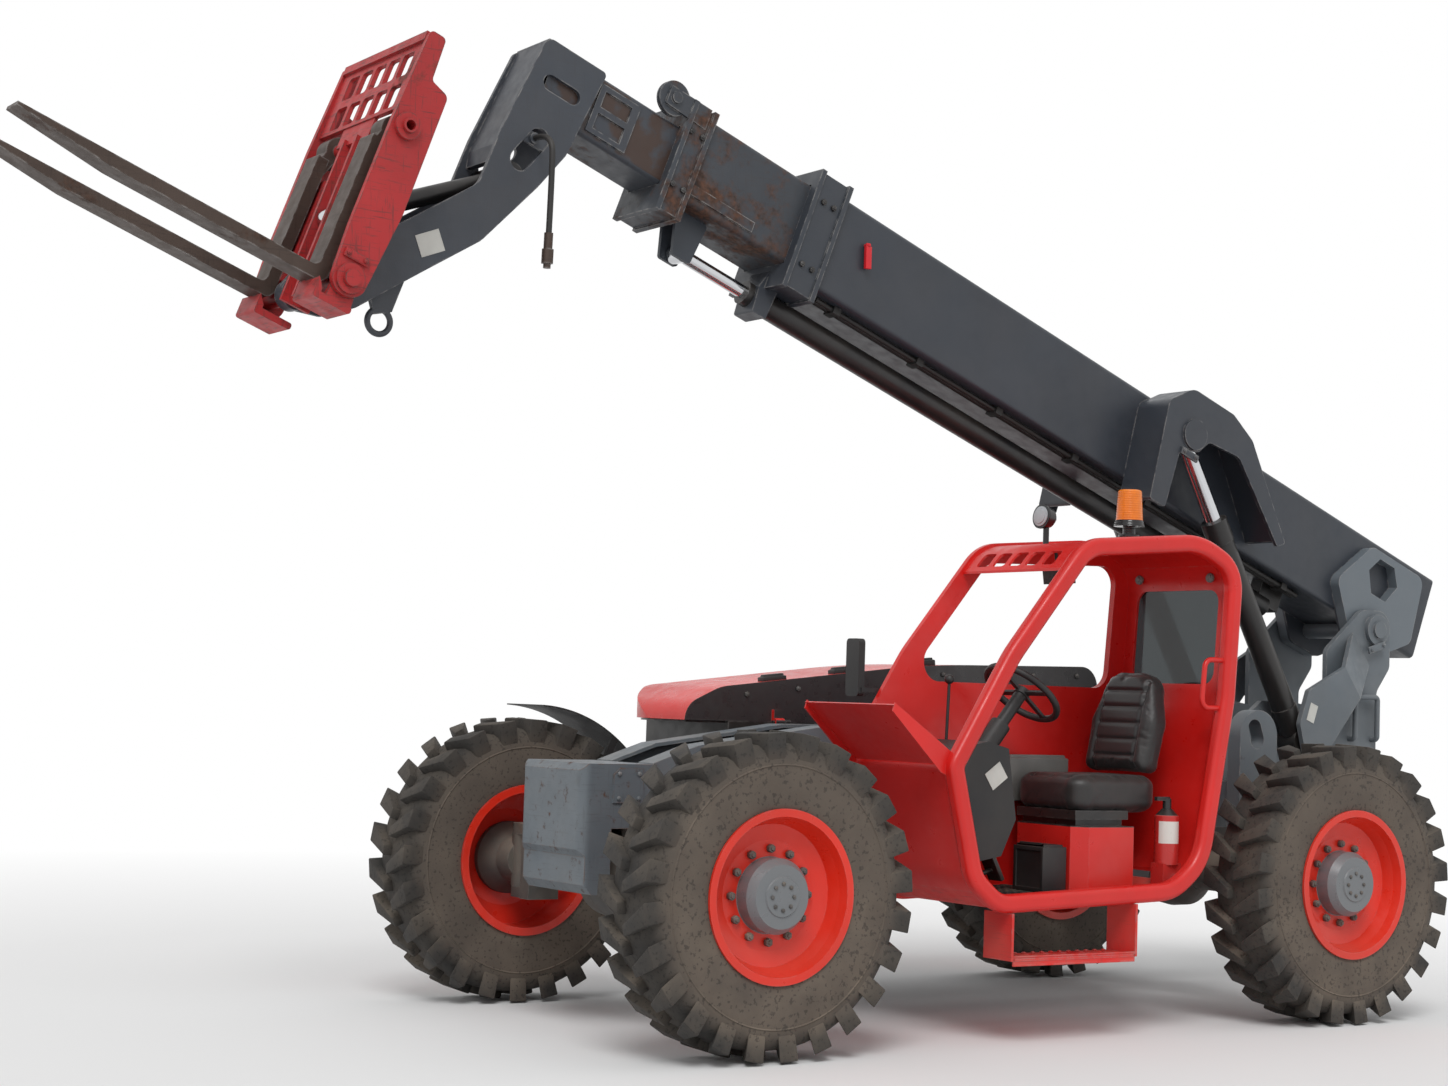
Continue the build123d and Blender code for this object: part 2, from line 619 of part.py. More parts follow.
def cab_roof(skin):
    """Roof sheet with a front header, pierced by five slots above the windscreen opening."""
    roof = skin & block(-2000, bay(170), 0, 2000, 2060, 3000)
    roof -= block(-2000, bay(-640), 0, 2000, 0, 2140 + FIT)
    (xa, za), (xb, zb) = CAB_LOOP[6], CAB_LOOP[7]
    lean = math.degrees(math.atan2(za - zb, xb - xa))
    width = (CAB_IN_Y1 - CAB_IN_Y0) / 6
    for k in range(5):
        y = CAB_IN_Y0 + width * (k + 1)
        slot = extrude(RectangleRounded(88, 0.76 * width, 20), amount=60, both=True)
        roof -= Pos(xa + 62, y, za - 72) * Rot(0, lean, 0) * slot
    return roof


def cab_front_panel(skin):
    """Front lower sheet under the windscreen opening."""
    return skin & block(bay(620) + FIT, 2000, 0, 2000, 0, 1230)


def rear_glass():
    pane = cab_profile(CAB_SKIN_INSET - FIT - SHEET) - cab_profile(CAB_SKIN_INSET - FIT)
    mid = (CAB_IN_Y0 + CAB_IN_Y1) / 2
    return slab(pane, mid - 295, mid + 295) & block(-2000, bay(-700), 0, 2000, 1570, 2050)


DASH = [(bay(740), 730), (bay(330), 800), (bay(250), 960), (bay(300), 1270), (bay(420), 1300), (bay(860),
                                                                                                1210)]
WHEEL_AT = Vector(bay(60), 760, 1520)
WHEEL_LEAN = 40
COLUMN = Vector(math.sin(math.radians(WHEEL_LEAN)), 0, -math.cos(math.radians(WHEEL_LEAN)))
COWL_START = 190
COWL_END = 400


def dash_console():
    """Dash and side console, cut from the cab's inside, with a cowl round the column and a lever."""
    inside = slab(cab_profile(CAB_SKIN_INSET + CAB_SHEET + FIT), DASH_Y0, DASH_Y1)
    console = inside & plate(DASH, DASH_Y0, DASH_Y1)
    cowl = bar(tuple(WHEEL_AT + COLUMN * COWL_START), tuple(WHEEL_AT + COLUMN * COWL_END), 48)
    lever_x = bay(380)
    lever = bar((lever_x, 620, 1270), (lever_x - 10, 620, 1560), 7)
    lever += Pos(lever_x - 10, 620, 1570) * Sphere(22)
    return console + cowl + lever


def steering_wheel():
    tilt = Pos(*WHEEL_AT) * Rot(0, -WHEEL_LEAN, 0)
    ring = tilt * Torus(STEERING_R, 16)
    hub = tilt * Cylinder(36, 30)
    spokes = tilt * (Box(2 * STEERING_R, 26, 12) + Box(26, 2 * STEERING_R, 12))
    return ring + hub + spokes + bar(tuple(WHEEL_AT), tuple(WHEEL_AT + COLUMN * (COWL_START - FIT)), 30)


def floor_z(x):
    """Top of the cab floor, which rises gently to the rear."""
    slope = (CAB_LOOP[1][1] - CAB_LOOP[0][1]) / (CAB_LOOP[0][0] - CAB_LOOP[1][0])
    lift = (CAB_SKIN_INSET + CAB_SHEET) * math.sqrt(1 + slope * slope)
    return CAB_LOOP[0][1] + (CAB_LOOP[0][0] - x) * slope + lift


def sill_z(x):
    return floor_z(x) - floor_z(0) + CAB_LOOP[0][1] + (floor_z(0) - floor_z(CAB_LOOP[0][0]))


def seat_base():
    """Seat pedestal with chamfered front corners, under a suspension plate."""
    x0 = bay(-420)
    x1 = bay(-90)
    box = plate([(x0, floor_z(x0) + FIT), (x1, floor_z(x1) + FIT), (x1, SEAT_Z - 70), (x0, SEAT_Z - 70)],
                520, 1000)
    box = chamfer(box.edges().filter_by(lambda e: abs(e.tangent_at(0).Z) > 0.9 and e.center().X > x1 - 1), 60)
    box += block(x0 + 20, x1 - 30, 580, 940, SEAT_Z - 71, SEAT_Z - 40)
    return box + block(x0, x1 - 10, 560, 960, SEAT_Z - 41, SEAT_Z)


def seat_cushion():
    """Cushion with rounded front corners and a soft edge all round."""
    cushion = block(bay(-620), bay(-70), 520, 1000, SEAT_Z + FIT, SEAT_Z + SEAT_CUSHION_H)
    cushion = fillet(cushion.edges().filter_by(Axis.Z), 90)
    return fillet(cushion.edges().filter_by(lambda e: abs(e.tangent_at(0.5).Z) < 0.1), 40)


def seat_back():
    """Backrest that leans back and narrows to a round top."""
    low = SEAT_Z + SEAT_CUSHION_H + FIT
    height = 1655 - low
    lean = math.degrees(math.atan2(bay(110), height))
    shape = outline([(-220, 0), (220, 0), (235, 0.5 * height), (150, height), (-150, height),
                     (-235, 0.5 * height)],
                    [40, 40, 160, 110, 110, 160])
    back = extrude(Plane.YZ * shape, amount=110)
    back = fillet(back.edges().filter_by(lambda e: abs(e.tangent_at(0.5).X) < 0.1), SEAT_EDGE)
    sunk = SEAT_EDGE * (math.sin(math.radians(lean)) + math.cos(math.radians(lean)) - 1)
    return Pos(bay(-600), 760, low - sunk) * Rot(0, -lean, 0) * back


def boarding_step():
    """Step hung under the cab sill, with a pierced tread."""
    x0 = bay(-270)
    x1 = bay(460)
    step = block(x0, x1, 1010, CAB_LEFT_Y, 370, 382)
    for k in range(6):
        x = x0 + (x1 - x0) * (k + 1) / 7
        step -= Pos(x, (1010 + CAB_LEFT_Y) / 2, 376) * extrude(SlotOverall(110, 34, rotation=90), amount=20,
                                                               both=True)
    for x in (x0, x1 - 12):
        step += plate([(x, 375), (x + 12, 375), (x + 12, sill_z(x + 12) - FIT), (x, sill_z(x) - FIT)], 1010,
                      CAB_LEFT_Y)
    return step


def front_guard():
    """Folded guard over the front tyre: a sloping sheet with an upturned flange at each side."""
    low = (bay(776), 1190)
    high = (bay(1090), 1450)
    sheet = plate([low, (low[0] + 8, low[1] - 8), (high[0] + 8, high[1] - 4), high], 520, 1150)
    side = [(low[0] - 40, low[1] - 60), (low[0] + 60, low[1] - 20), (high[0] + 10, high[1] - 30),
            (high[0], high[1] + 6), (low[0] - 20, low[1] + 50)]
    guard = sheet + plate(side, 1142, 1150) + plate(side, 520, 528)
    return guard - slab(offset(cab_profile(0), FIT), 400, 1200)


def front_fender():
    """Mudguard on the right front knuckle, over the back of the tyre."""
    inner = WHEEL_R + 58
    arc = Circle(inner + 6) - Circle(inner)
    sector = Polygon((0, 0), (-1200, 690), (-1200, 1400), (-60, 1400), align=None)
    guard = slab(arc & sector, -205, 150)
    back = -STEER_ARM - 10
    stay = plate([
        (back, -40), (back + 40, -40), (back + 40, 0), (-420, inner * 0.82), (-450, inner * 0.79),
        (back, 20)],
        -205, -190)
    foot = block(-STEER_ARM - 12, -STEER_ARM - FIT, -205, -KINGPIN_INSET, -40, 0)
    return guard + stay + foot


def above_roof(solid):
    return solid - slab(cab_profile(CAB_SKIN_INSET - FIT), CAB_RIGHT_Y, CAB_LEFT_Y)


def beacon():
    """Amber beacon: a slightly tapered lens on a round foot and stalk."""
    x = bay(-690)
    stalk = post(x, 640, 50, 2150, 2290) + post(x, 640, 30, 2280, 2330)
    foot = Pos(x, 640, 2345) * Cone(74, 66, 30)
    lens = fillet((Pos(x, 640, 2432) * Cone(64, 56, 146)).edges().group_by(Axis.Z)[-1], 12)
    return above_roof(stalk) + foot + lens


def work_lamp():
    """Round work lamp on a stalk: a cupped shell facing ahead."""
    x = bay(-185)
    stalk = above_roof(post(x, 620, 14, 2180, 2300))
    shell = revolve(Plane.XZ * outline([
        (-44, 0), (-44, 22), (-20, 46), (26, 58), (34, 58), (34, 0)]), axis=Axis.X)
    return stalk + Pos(x, 620, 2340) * Rot(0, -6, 0) * shell


def mirror_head():
    x = bay(510)
    arm = block(x + 30, x + 210, CAB_RIGHT_Y - 26, CAB_RIGHT_Y - FIT, 1500, 1520)
    head = block(x + 192, x + 227, 330, 425, 1480, 1740)
    return arm + fillet(head.edges().filter_by(Axis.X), 20)


def extinguisher():
    """Bottle with a domed top and valve, in a floor bracket."""
    x = bay(-585)
    bracket = plate([(x - 55, 600), (x + 55, 600), (x + 55, 768), (x - 55, 768)], 1000, 1080)
    bracket &= slab(cab_profile(CAB_SKIN_INSET + CAB_SHEET + FIT), 900, 1100)
    bottle = post(x, 1040, 55, 762, 980) + Pos(x, 1040, 997) * Cone(55, 24, 34)
    valve = post(x, 1040, 20, 1010, 1060) + block(x - 10, x + 70, 1030, 1050, 1050, 1068)
    return bracket + bottle + valve


# Boom, drawn level in its own axes

def section(u0, u1, half, low, high, wall):
    """A hollow boom section with rounded corners."""
    face = RectangleRounded(2 * half, high - low, 2 * wall)
    core = RectangleRounded(2 * half - 2 * wall, high - low - 2 * wall, wall)
    tube = extrude(Plane.YZ * (face - core), amount=u1 - u0)
    return Pos(u0, 0, (low + high) / 2) * tube


def collar(u0, u1, half, low, high, hole_half, hole_low, hole_high):
    """A section's reinforced mouth: a band between two raised ribs."""
    s = COLLAR_STEP
    ring = block(u0, u1, -half + s, half - s, low + s, high - s)
    for u in (u0, u1 - COLLAR_RIB):
        ring += block(u, u + COLLAR_RIB, -half, half, low, high)
    return ring - block(u0 - 1, u1 + 1, -hole_half, hole_half, hole_low, hole_high)


ARCH_CHEEK = [
    (157, -420), (217, 90), (87, 215), (-213, 215), (-383, 150), (-798, -240), (-748, -278), (-330, 30),
    (-110, 10), (-60, -70), (60, -95), (47, -420)]


def arch_points(inset):
    """Outline of the housing over a lift cylinder's eye."""
    return [
        (LIFT_EYE_U - 798 + inset, LIFT_EYE_V - 240 - 2 * inset),
        (LIFT_EYE_U - 383 + 0.8 * inset, LIFT_EYE_V + 150 - inset),
        (LIFT_EYE_U - 213, LIFT_EYE_V + 215 - inset), (LIFT_EYE_U + 87, LIFT_EYE_V + 215 - inset),
        (LIFT_EYE_U + 217 - inset, LIFT_EYE_V + 90), (LIFT_EYE_U + 157 - inset, LIFT_EYE_V - 420 - inset),
        (LIFT_EYE_U + 47, LIFT_EYE_V - 420 - inset)]


def boom_base():
    """Outer section: pivot brackets, lift cylinder housings, mouth collar and cylinder gland."""
    base = section(BASE_REAR, BASE_FRONT - 10, BASE_HALF_W, BASE_LOW, BASE_HIGH, SECTION_WALL)
    base += collar(BASE_FRONT - COLLAR_L, BASE_FRONT, BASE_HALF_W + 28, BASE_LOW - 80, BASE_HIGH + 50,
                   MID_HALF_W + PAD_GAP, MID_LOW - PAD_GAP, MID_HIGH + PAD_GAP)
    outer = TOWER_Y - 12
    rear = plate([(-330, 60), (-300, 430), (140, 430), (330, 160), (110, -110), (-110, -110)],
                 BASE_HALF_W - SECTION_WALL, outer, 60)
    rear -= plate([(-120, 300), (-60, 190), (60, 190), (120, 300), (60, 390), (-60, 390)],
                  BASE_HALF_W + 1, outer + 10)
    base += both_sides(rear)
    base -= cross_pin(0, 0, PIVOT_PIN_R + FIT, -outer - 50, outer + 50)
    wide = LIFT_Y + 72
    rounds = [20, 60, 60, 90, 60, 20, 20]
    cheek = plate([(LIFT_EYE_U + du, LIFT_EYE_V + dv) for du, dv in ARCH_CHEEK], wide, wide + 20,
                  [15, 60, 90, 60, 60, 15, 15, 60, 40, 30, 30, 15])
    cheek += cross_pin(LIFT_EYE_U, LIFT_EYE_V, 78, wide + 1, wide + 34)
    arch = plate(arch_points(0), BASE_HALF_W, wide + 8, rounds)
    arch -= plate(arch_points(25), BASE_HALF_W - 1, wide + 9)
    base += both_sides(cheek + arch)
    low = CYL_V - 88
    gland = plate([
        (BASE_FRONT - 80, BASE_LOW + 10), (BASE_FRONT, BASE_LOW + 10), (BASE_FRONT + 30, CYL_V + 42),
        (BASE_FRONT + 20, low), (BASE_FRONT - 60, low)], -75, 75, 10)
    return base + gland - bar((BASE_FRONT - 240, 0, CYL_V), (BASE_FRONT + 160, 0, CYL_V), EXT_BARREL_R + FIT)


def boom_lines():
    """Two hydraulic pipes along the underside of the outer section, in saddle clips."""
    v = BASE_LOW - FIT - LINE_R - 4
    u0 = 460
    u1 = BASE_FRONT - COLLAR_L - 60
    lines = bar((u0, LINE_Y, v), (u1, LINE_Y, v), LINE_R) + bar((u0, LINE_Y - 34, v), (u1, LINE_Y - 34, v),
                                                                LINE_R)
    for k in range(7):
        u = u0 + 120 + (u1 - u0 - 240) * k / 6
        lines += block(u - 20, u + 20, LINE_Y - 56, LINE_Y + 22, v - LINE_R - 5, BASE_LOW - FIT)
    return lines


def ext_barrel():
    end = BASE_FRONT + 60
    barrel = bar((560, 0, CYL_V), (end, 0, CYL_V), EXT_BARREL_R)
    foot = plate([(480, BASE_LOW - FIT), (480, CYL_V), (640, CYL_V), (640, BASE_LOW - FIT)], -40, 40)
    return barrel + foot - bar((700, 0, CYL_V), (end + 1, 0, CYL_V), EXT_ROD_R + FIT)


def boom_mid():
    """Middle section with its mouth collar, top wear rails and the extension chain's sheave."""
    mid = section(MID_REAR, MID_FRONT - 10, MID_HALF_W, MID_LOW, MID_HIGH, SECTION_WALL)
    mid += collar(MID_FRONT - MID_COLLAR_L, MID_FRONT, MID_HALF_W + 20, MID_LOW - 105, MID_HIGH + 34,
                  FLY_HALF_W + PAD_GAP, FLY_LOW - PAD_GAP, FLY_HIGH + PAD_GAP)
    rail_u0 = BASE_FRONT + 215
    rail = block(rail_u0, MID_FRONT - MID_COLLAR_L + 1, 70, 104, MID_HIGH - 1, MID_HIGH + 12)
    rail += block(rail_u0, MID_FRONT - MID_COLLAR_L + 1, MID_HALF_W - 1, MID_HALF_W + 8, MID_LOW + 40,
                  MID_LOW + 90)
    sheave_u = MID_FRONT + 90
    arm = plate([
        (MID_FRONT - 100, 400), (MID_FRONT - 100, 500), (sheave_u + 40, 500), (sheave_u + 40, 410)], 164, 178)
    sheave = cross_pin(sheave_u, 456, 80, 138, 150) + cross_pin(sheave_u, 456, 66, 149, 158)
    sheave += cross_pin(sheave_u, 456, 80, 157, 166) + cross_pin(sheave_u, 456, 26, 164, 192)
    return mid + both_sides(rail) + arm + sheave


def ext_rod():
    rod = bar((BASE_FRONT - 840, 0, CYL_V), (EXT_EYE_U, 0, CYL_V), EXT_ROD_R)
    eye = cross_pin(EXT_EYE_U, CYL_V, EXT_EYE_R, -40, 40)
    low = CYL_V - EXT_EYE_R
    hanger = plate([
        (EXT_EYE_U - 55, MID_LOW - FIT), (EXT_EYE_U + 125, MID_LOW - FIT),
        (EXT_EYE_U + 65, low), (EXT_EYE_U - 35, low)],
        44, 64, 15)
    pin = cross_pin(EXT_EYE_U, CYL_V, 25, -64, 64)
    return rod + eye + both_sides(hanger) + pin


def boom_fly():
    """Inner section with a wear-pad frame on each side near its mouth."""
    fly = section(FLY_REAR, FLY_FRONT, FLY_HALF_W, FLY_LOW, FLY_HIGH, SECTION_WALL)
    u0 = MID_FRONT + 215
    u1 = FLY_FRONT - 250
    frame = block(u0, u1, FLY_HALF_W - 1, FLY_HALF_W + 9, FLY_LOW + 30, FLY_HIGH - 30)
    for v in (FLY_LOW + 55, FLY_LOW + 160):
        frame -= block(u0 + 40, u1 - 30, FLY_HALF_W - 2, FLY_HALF_W + 10, v, v + 75)
    return fly + both_sides(frame)


def head_points():
    """Side view of the gooseneck, from the mouth of the inner section to the tilt pin."""
    f = FLY_FRONT
    return [
        (f - 249, FLY_HIGH + 12), (f + 73, FLY_HIGH + 12), (f + 118, -98), (f + 122, -366),
        (TILT_U + 45, TILT_V + 80),
        (TILT_U + 75, TILT_V - 10), (TILT_U - 15, TILT_V - 60), (TILT_U - 156, TILT_V - 24), (f + 12, -576),
        (f - 136, -244), (f - 205, -52)]


def boom_head():
    """Gooseneck of two slotted side plates with a back web, carrying the fork pivot at its tip."""
    half = FLY_HALF_W + FIT
    out = half + HEAD_PLATE
    cheek = plate(head_points(), half, out, [20, 40, 60, 90, 60, 40, 40, 60, 60, 60, 20])
    cheek -= slab(Pos(FLY_FRONT - 76, 204) * SlotOverall(190, 70), half - 1, out + 10)
    cheek -= slab(Pos(FLY_FRONT - 37, -112) * Rot(0, 0, -70) * SlotOverall(230, 95), half - 1, out + 10)
    cheek += cross_pin(TILT_U, TILT_V, 66, half - 32, out + 20)
    head = both_sides(cheek)
    web = out - 10
    f = FLY_FRONT
    head += plate([(f + 30, FLY_HIGH), (f + 60, FLY_HIGH), (f + 100, -150), (f + 84, -220), (f + 60, -220),
                   (f + 70, -150)],
                  -web, web)
    head += plate([(f - 120, -280), (f + 15, -585), (TILT_U - 165, TILT_V - 10), (TILT_U - 135, TILT_V + 10),
                   (f + 50, -570), (f - 90, -270)], -web, web)
    head += block(f - 240, f + 60, -web, web, FLY_HIGH + FIT, FLY_HIGH + 12)
    shackle_u = TILT_U - 285
    ear = plate([(shackle_u - 60, -880), (shackle_u + 60, -1010), (shackle_u + 10, -1075),
                 (shackle_u - 60, -1030)], 60, 84)
    link = Pos(shackle_u - 26, 72, -1090) * Rot(0, 20, 0) * Rot(90, 0, 0) * Torus(52, 13)
    head += ear + link
    head += block(AUX_U - 75, AUX_U + 75, half, out - 4, AUX_V - 28, AUX_V + 28)
    head += cross_pin(AUX_U, AUX_V, AUX_BOSS_R, out - 5, out + AUX_BOSS_H)
    return head - cross_pin(TILT_U, TILT_V, TILT_PIN_R + FIT, -500, 500)


def below_port(drop):
    """A point straight below the hose's port, in boom axes, with the boom at its working angle."""
    return AUX_U - drop * math.sin(LIFT), AUX_V - drop * math.cos(LIFT)


def aux_hose():
    """Loose auxiliary hose: out of its port sideways, then down beside the gooseneck."""
    port = FLY_HALF_W + FIT + HEAD_PLATE + AUX_BOSS_H + FIT
    (ua, va), (ub, vb) = below_port(170), below_port(AUX_HANG)
    return tube_along([(AUX_U, port, AUX_V), (AUX_U, AUX_Y, AUX_V), (ua, AUX_Y + 10, va), (ub, AUX_Y, vb)],
                      LINE_R, 110)


def aux_coupler():
    """Coupler on the hose's free end."""
    u, v = below_port(AUX_HANG)
    top = Vector(u, AUX_Y, v)
    down = Vector(-math.sin(LIFT), -0.0385, -math.cos(LIFT)).normalized()
    top += down * FIT
    body = bar(tuple(top), tuple(top + down * 70), 19) + bar(tuple(top + down * 69),
                                                             tuple(top + down * 130), 25)
    return body + bar(tuple(top + down * 129), tuple(top + down * 150), 16)


def tilt_line():
    base = Vector(TILT_BASE_U, 0, TILT_BASE_V)
    lug = Vector(TILT_LUG_U, 0, TILT_LUG_V)
    return base, lug, (lug - base).normalized()


def tilt_barrel():
    base, lug, along = tilt_line()
    barrel = bar(tuple(base), tuple(base + along * TILT_BARREL_L), TILT_BARREL_R)
    barrel += cross_pin(TILT_BASE_U, TILT_BASE_V, 60, -FLY_HALF_W, FLY_HALF_W)
    return barrel - bar(tuple(base + along * 62), tuple(base + along * (TILT_BARREL_L + 1)), TILT_ROD_R + FIT)


def tilt_rod():
    base, lug, along = tilt_line()
    rod = bar(tuple(base + along * TILT_ROD_START), tuple(lug), TILT_ROD_R)
    return rod + cross_pin(TILT_LUG_U, TILT_LUG_V, 46, -40, 40)


# Carriage and forks, drawn from the tilt pin with the shanks upright

def carriage():
    """Fork carriage: stepped side plates, fork shaft, pierced backrest, rest pads and a toe beam."""
    inner = CARRIAGE_HALF_W - CARRIAGE_PLATE
    heel = FORK_FACE - FORK_T - FIT
    front = FORK_FACE - 20
    side = plate([
        (-72, -72), (72, -72), (front, 200), (front + 3, SHAFT_UP), (front - 7, REST_TOP), (5, REST_TOP),
        (-5, REST_TOP - 190), (-95, REST_TOP - 215), (-105, 340)], inner, CARRIAGE_HALF_W,
        [70, 70, 60, 60, 20, 20, 20, 30, 80])
    side += cross_pin(SHAFT_FORWARD, SHAFT_UP, SHAFT_R + 26, CARRIAGE_HALF_W - 1, CARRIAGE_HALF_W + 22)
    side += cross_pin(0, 0, 62, CARRIAGE_HALF_W - 1, CARRIAGE_HALF_W + 12)
    pad = block(15, heel, 190, inner + 5, 50, 140)
    back = block(25, 41, 190, inner + 5, 100, SHAFT_UP - 150)
    frame = both_sides(side + pad + back)
    rest = block(50, 70, -inner - 1, inner + 1, SHAFT_UP + 72, REST_TOP - 20)
    width = 2 * inner / 6
    for k in range(5):
        y = -inner + width * (k + 1)
        for z in (SHAFT_UP + 145, SHAFT_UP + 295):
            window = Plane.YZ * (Pos(y, z) * RectangleRounded(0.78 * width, 110, 16))
            rest -= Pos(40, 0, 0) * extrude(window, amount=50)
    rest += block(40, 84, -inner - 1, inner + 1, REST_TOP - 40, REST_TOP)
    frame += rest
    frame += block(50, 64, -150, 150, SHAFT_UP - 20, SHAFT_UP + 80)
    centre = plate([(-65, -65), (70, -65), (front - 8, SHAFT_UP), (20, SHAFT_UP), (-65, 240)], 50, 70)
    frame += both_sides(centre)
    frame += both_sides(plate([
        (-65, -125), (front + 23, -125), (front + 23, -FORK_DROP - FIT), (front - 7, -FORK_DROP - FIT - 40),
        (front - 7, -95), (-65, -95)], 190, inner + 1, [12, 12, 0, 0, 0, 12]))
    frame += both_sides(plate([(-60, -110), (60, -110), (55, -40), (-55, -40)], inner - 22, inner + 1))
    frame += cross_pin(0, 0, TILT_PIN_R, -CARRIAGE_HALF_W - 34, CARRIAGE_HALF_W + 34)
    frame += cross_pin(SHAFT_FORWARD, SHAFT_UP, SHAFT_R, -CARRIAGE_HALF_W - 40, CARRIAGE_HALF_W + 40)
    bore = SHAFT_R - 9
    for y in (-CARRIAGE_HALF_W - 41, CARRIAGE_HALF_W - 40):
        frame -= cross_pin(SHAFT_FORWARD, SHAFT_UP, bore, y, y + 81)
    return frame


def forks():
    """Two forged forks: tapered blade, radiused heel, and a shank hooked over the shaft."""
    heel = FORK_FACE - FORK_T
    low = -FORK_DROP
    tip = FORK_FACE + FORK_L
    shank = SHAFT_UP - 60
    blade = plate([
        (heel, low), (tip - 420, low), (tip, low + FORK_T - 14), (tip, low + FORK_T),
        (FORK_FACE, low + FORK_T),
        (FORK_FACE, shank), (heel, shank)], FORK_Y - FORK_W / 2, FORK_Y + FORK_W / 2, [40, 0, 0, 0, 30, 0, 0])
    eye = cross_pin(SHAFT_FORWARD, SHAFT_UP, SHAFT_R + 34, FORK_Y - 50, FORK_Y + 50)
    neck = plate([(heel, shank - 80), (FORK_FACE, shank - 80), (SHAFT_FORWARD + 50, SHAFT_UP),
                  (SHAFT_FORWARD, SHAFT_UP - 40)], FORK_Y - 50, FORK_Y + 50)
    return blade + eye + neck - cross_pin(SHAFT_FORWARD, SHAFT_UP, SHAFT_R + FIT, 0, 500)


# Lift cylinders, drawn in the machine's axes between the tower and the raised boom

def lift_line():
    base = Vector(LIFT_BASE_X, LIFT_Y, LIFT_BASE_Z)
    eye = Vector(
        PIVOT_X + LIFT_EYE_U * math.cos(LIFT) - LIFT_EYE_V * math.sin(LIFT), LIFT_Y,
        PIVOT_Z + LIFT_EYE_U * math.sin(LIFT) + LIFT_EYE_V * math.cos(LIFT))
    return base, eye, (eye - base).normalized()


def lift_barrel():
    """Barrel with a foot eye and a stepped gland."""
    base, eye, along = lift_line()
    end = base + along * LIFT_BARREL_L
    barrel = bar(tuple(base), tuple(end), LIFT_BARREL_R - 6)
    barrel += bar(tuple(base + along * 60), tuple(base + along * 200), LIFT_BARREL_R)
    barrel += bar(tuple(end - along * 120), tuple(end), LIFT_BARREL_R)
    barrel += cross_pin(base.X, base.Z, LIFT_BARREL_R + 10, LIFT_Y - 60, LIFT_Y + 60)
    barrel -= bar(tuple(base + along * 100), tuple(base + along * (LIFT_BARREL_L + 1)), LIFT_ROD_R + FIT)
    return barrel - cross_pin(base.X, base.Z, LIFT_PIN_R + FIT, LIFT_Y - 100, LIFT_Y + 100)


def lift_rod():
    base, eye, along = lift_line()
    rod = bar(tuple(base + along * LIFT_ROD_START), tuple(eye), LIFT_ROD_R)
    rod += cross_pin(eye.X, eye.Z, LIFT_EYE_R, LIFT_Y - 40, LIFT_Y + 40)
    return rod + cross_pin(eye.X, eye.Z, LIFT_PIN_R, LIFT_Y - 58, LIFT_Y + 58)


CORNERS = {"front_left": (1, 1), "front_right": (1, -1), "rear_left": (-1, 1), "rear_right": (-1, -1)}


def at_corner(solid, ends):
    """A left-hand wheel piece set at one corner, mirrored for the right-hand side."""
    along, side = ends
    piece = solid if side > 0 else mirror(solid, about=Plane.XZ)
    return Pos(along * AXLE_X, side * WHEEL_Y, WHEEL_R) * piece


def build():
    skin = cab_skin()
    nodes = {
        "main_frame": main_frame(),
        "frame_nose": frame_nose(),
        "boom_tower": boom_tower(),
        "counterweight": counterweight(),
        "front_axle": Pos(AXLE_X, 0, WHEEL_R) * axle(),
        "rear_axle": Pos(-AXLE_X, 0, WHEEL_R) * mirror(axle(), about=Plane.YZ),
        "engine_pod": engine_pod(),
        "engine_block": engine_block(),
        "hood": hood(),
        "cab_floor": cab_floor(skin),
        "cab_left_frame": cab_left_frame(),
        "cab_right_wall": cab_right_wall(),
        "cab_rear_wall": cab_rear_wall(skin),
        "cab_roof": cab_roof(skin),
        "cab_front_panel": cab_front_panel(skin),
        "rear_glass": rear_glass(),
        "dash_console": dash_console(),
        "steering_wheel": steering_wheel(),
        "seat_base": seat_base(),
        "seat_cushion": seat_cushion(),
        "seat_back": seat_back(),
        "boarding_step": boarding_step(),
        "front_guard": front_guard(),
        "beacon": beacon(),
        "work_lamp": work_lamp(),
        "mirror_head": mirror_head(),
        "fire_extinguisher": extinguisher(),
        "boom_base": BOOM * boom_base(),
        "boom_lines": BOOM * boom_lines(),
        "ext_barrel": BOOM * ext_barrel(),
        "boom_mid": BOOM * boom_mid(),
        "ext_rod": BOOM * ext_rod(),
        "boom_fly": BOOM * boom_fly(),
        "boom_head": BOOM * boom_head(),
        "aux_hose": BOOM * aux_hose(),
        "aux_coupler": BOOM * aux_coupler(),
        "tilt_barrel": BOOM * tilt_barrel(),
        "tilt_rod": BOOM * tilt_rod(),
        "carriage": CARRIAGE * carriage(),
        "forks": CARRIAGE * pair(forks()),
        "lift_barrels": pair(lift_barrel()),
        "lift_rods": pair(lift_rod()),
    }
    one_tyre = tyre()
    one_rim = rim()
    one_knuckle = knuckle()
    for name, ends in CORNERS.items():
        nodes["tyre_" + name] = at_corner(one_tyre, ends)
        nodes["rim_" + name] = at_corner(one_rim, ends)
        nodes["knuckle_" + name] = at_corner(one_knuckle, ends)
    nodes["front_fender"] = at_corner(front_fender(), CORNERS["front_right"])
    return nodes


os.makedirs("parts", exist_ok=True)
for node, shape in build().items():
    export_step(Pos(-ORIGIN_X, 0, 0) * shape, "parts/" + node + ".step")
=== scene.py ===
# %% [markdown]
# A telehandler, dressed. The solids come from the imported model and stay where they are. This lesson
# gives each of them a finish, and models the pieces that a plain solid leaves out: tyres with rounded
# lugs, wheel nuts, seat upholstery, the loose hose at the boom head, bolts, keepers and cab fittings.
# Everything is in metres, with X forward, Y to the operator's left and Z up.

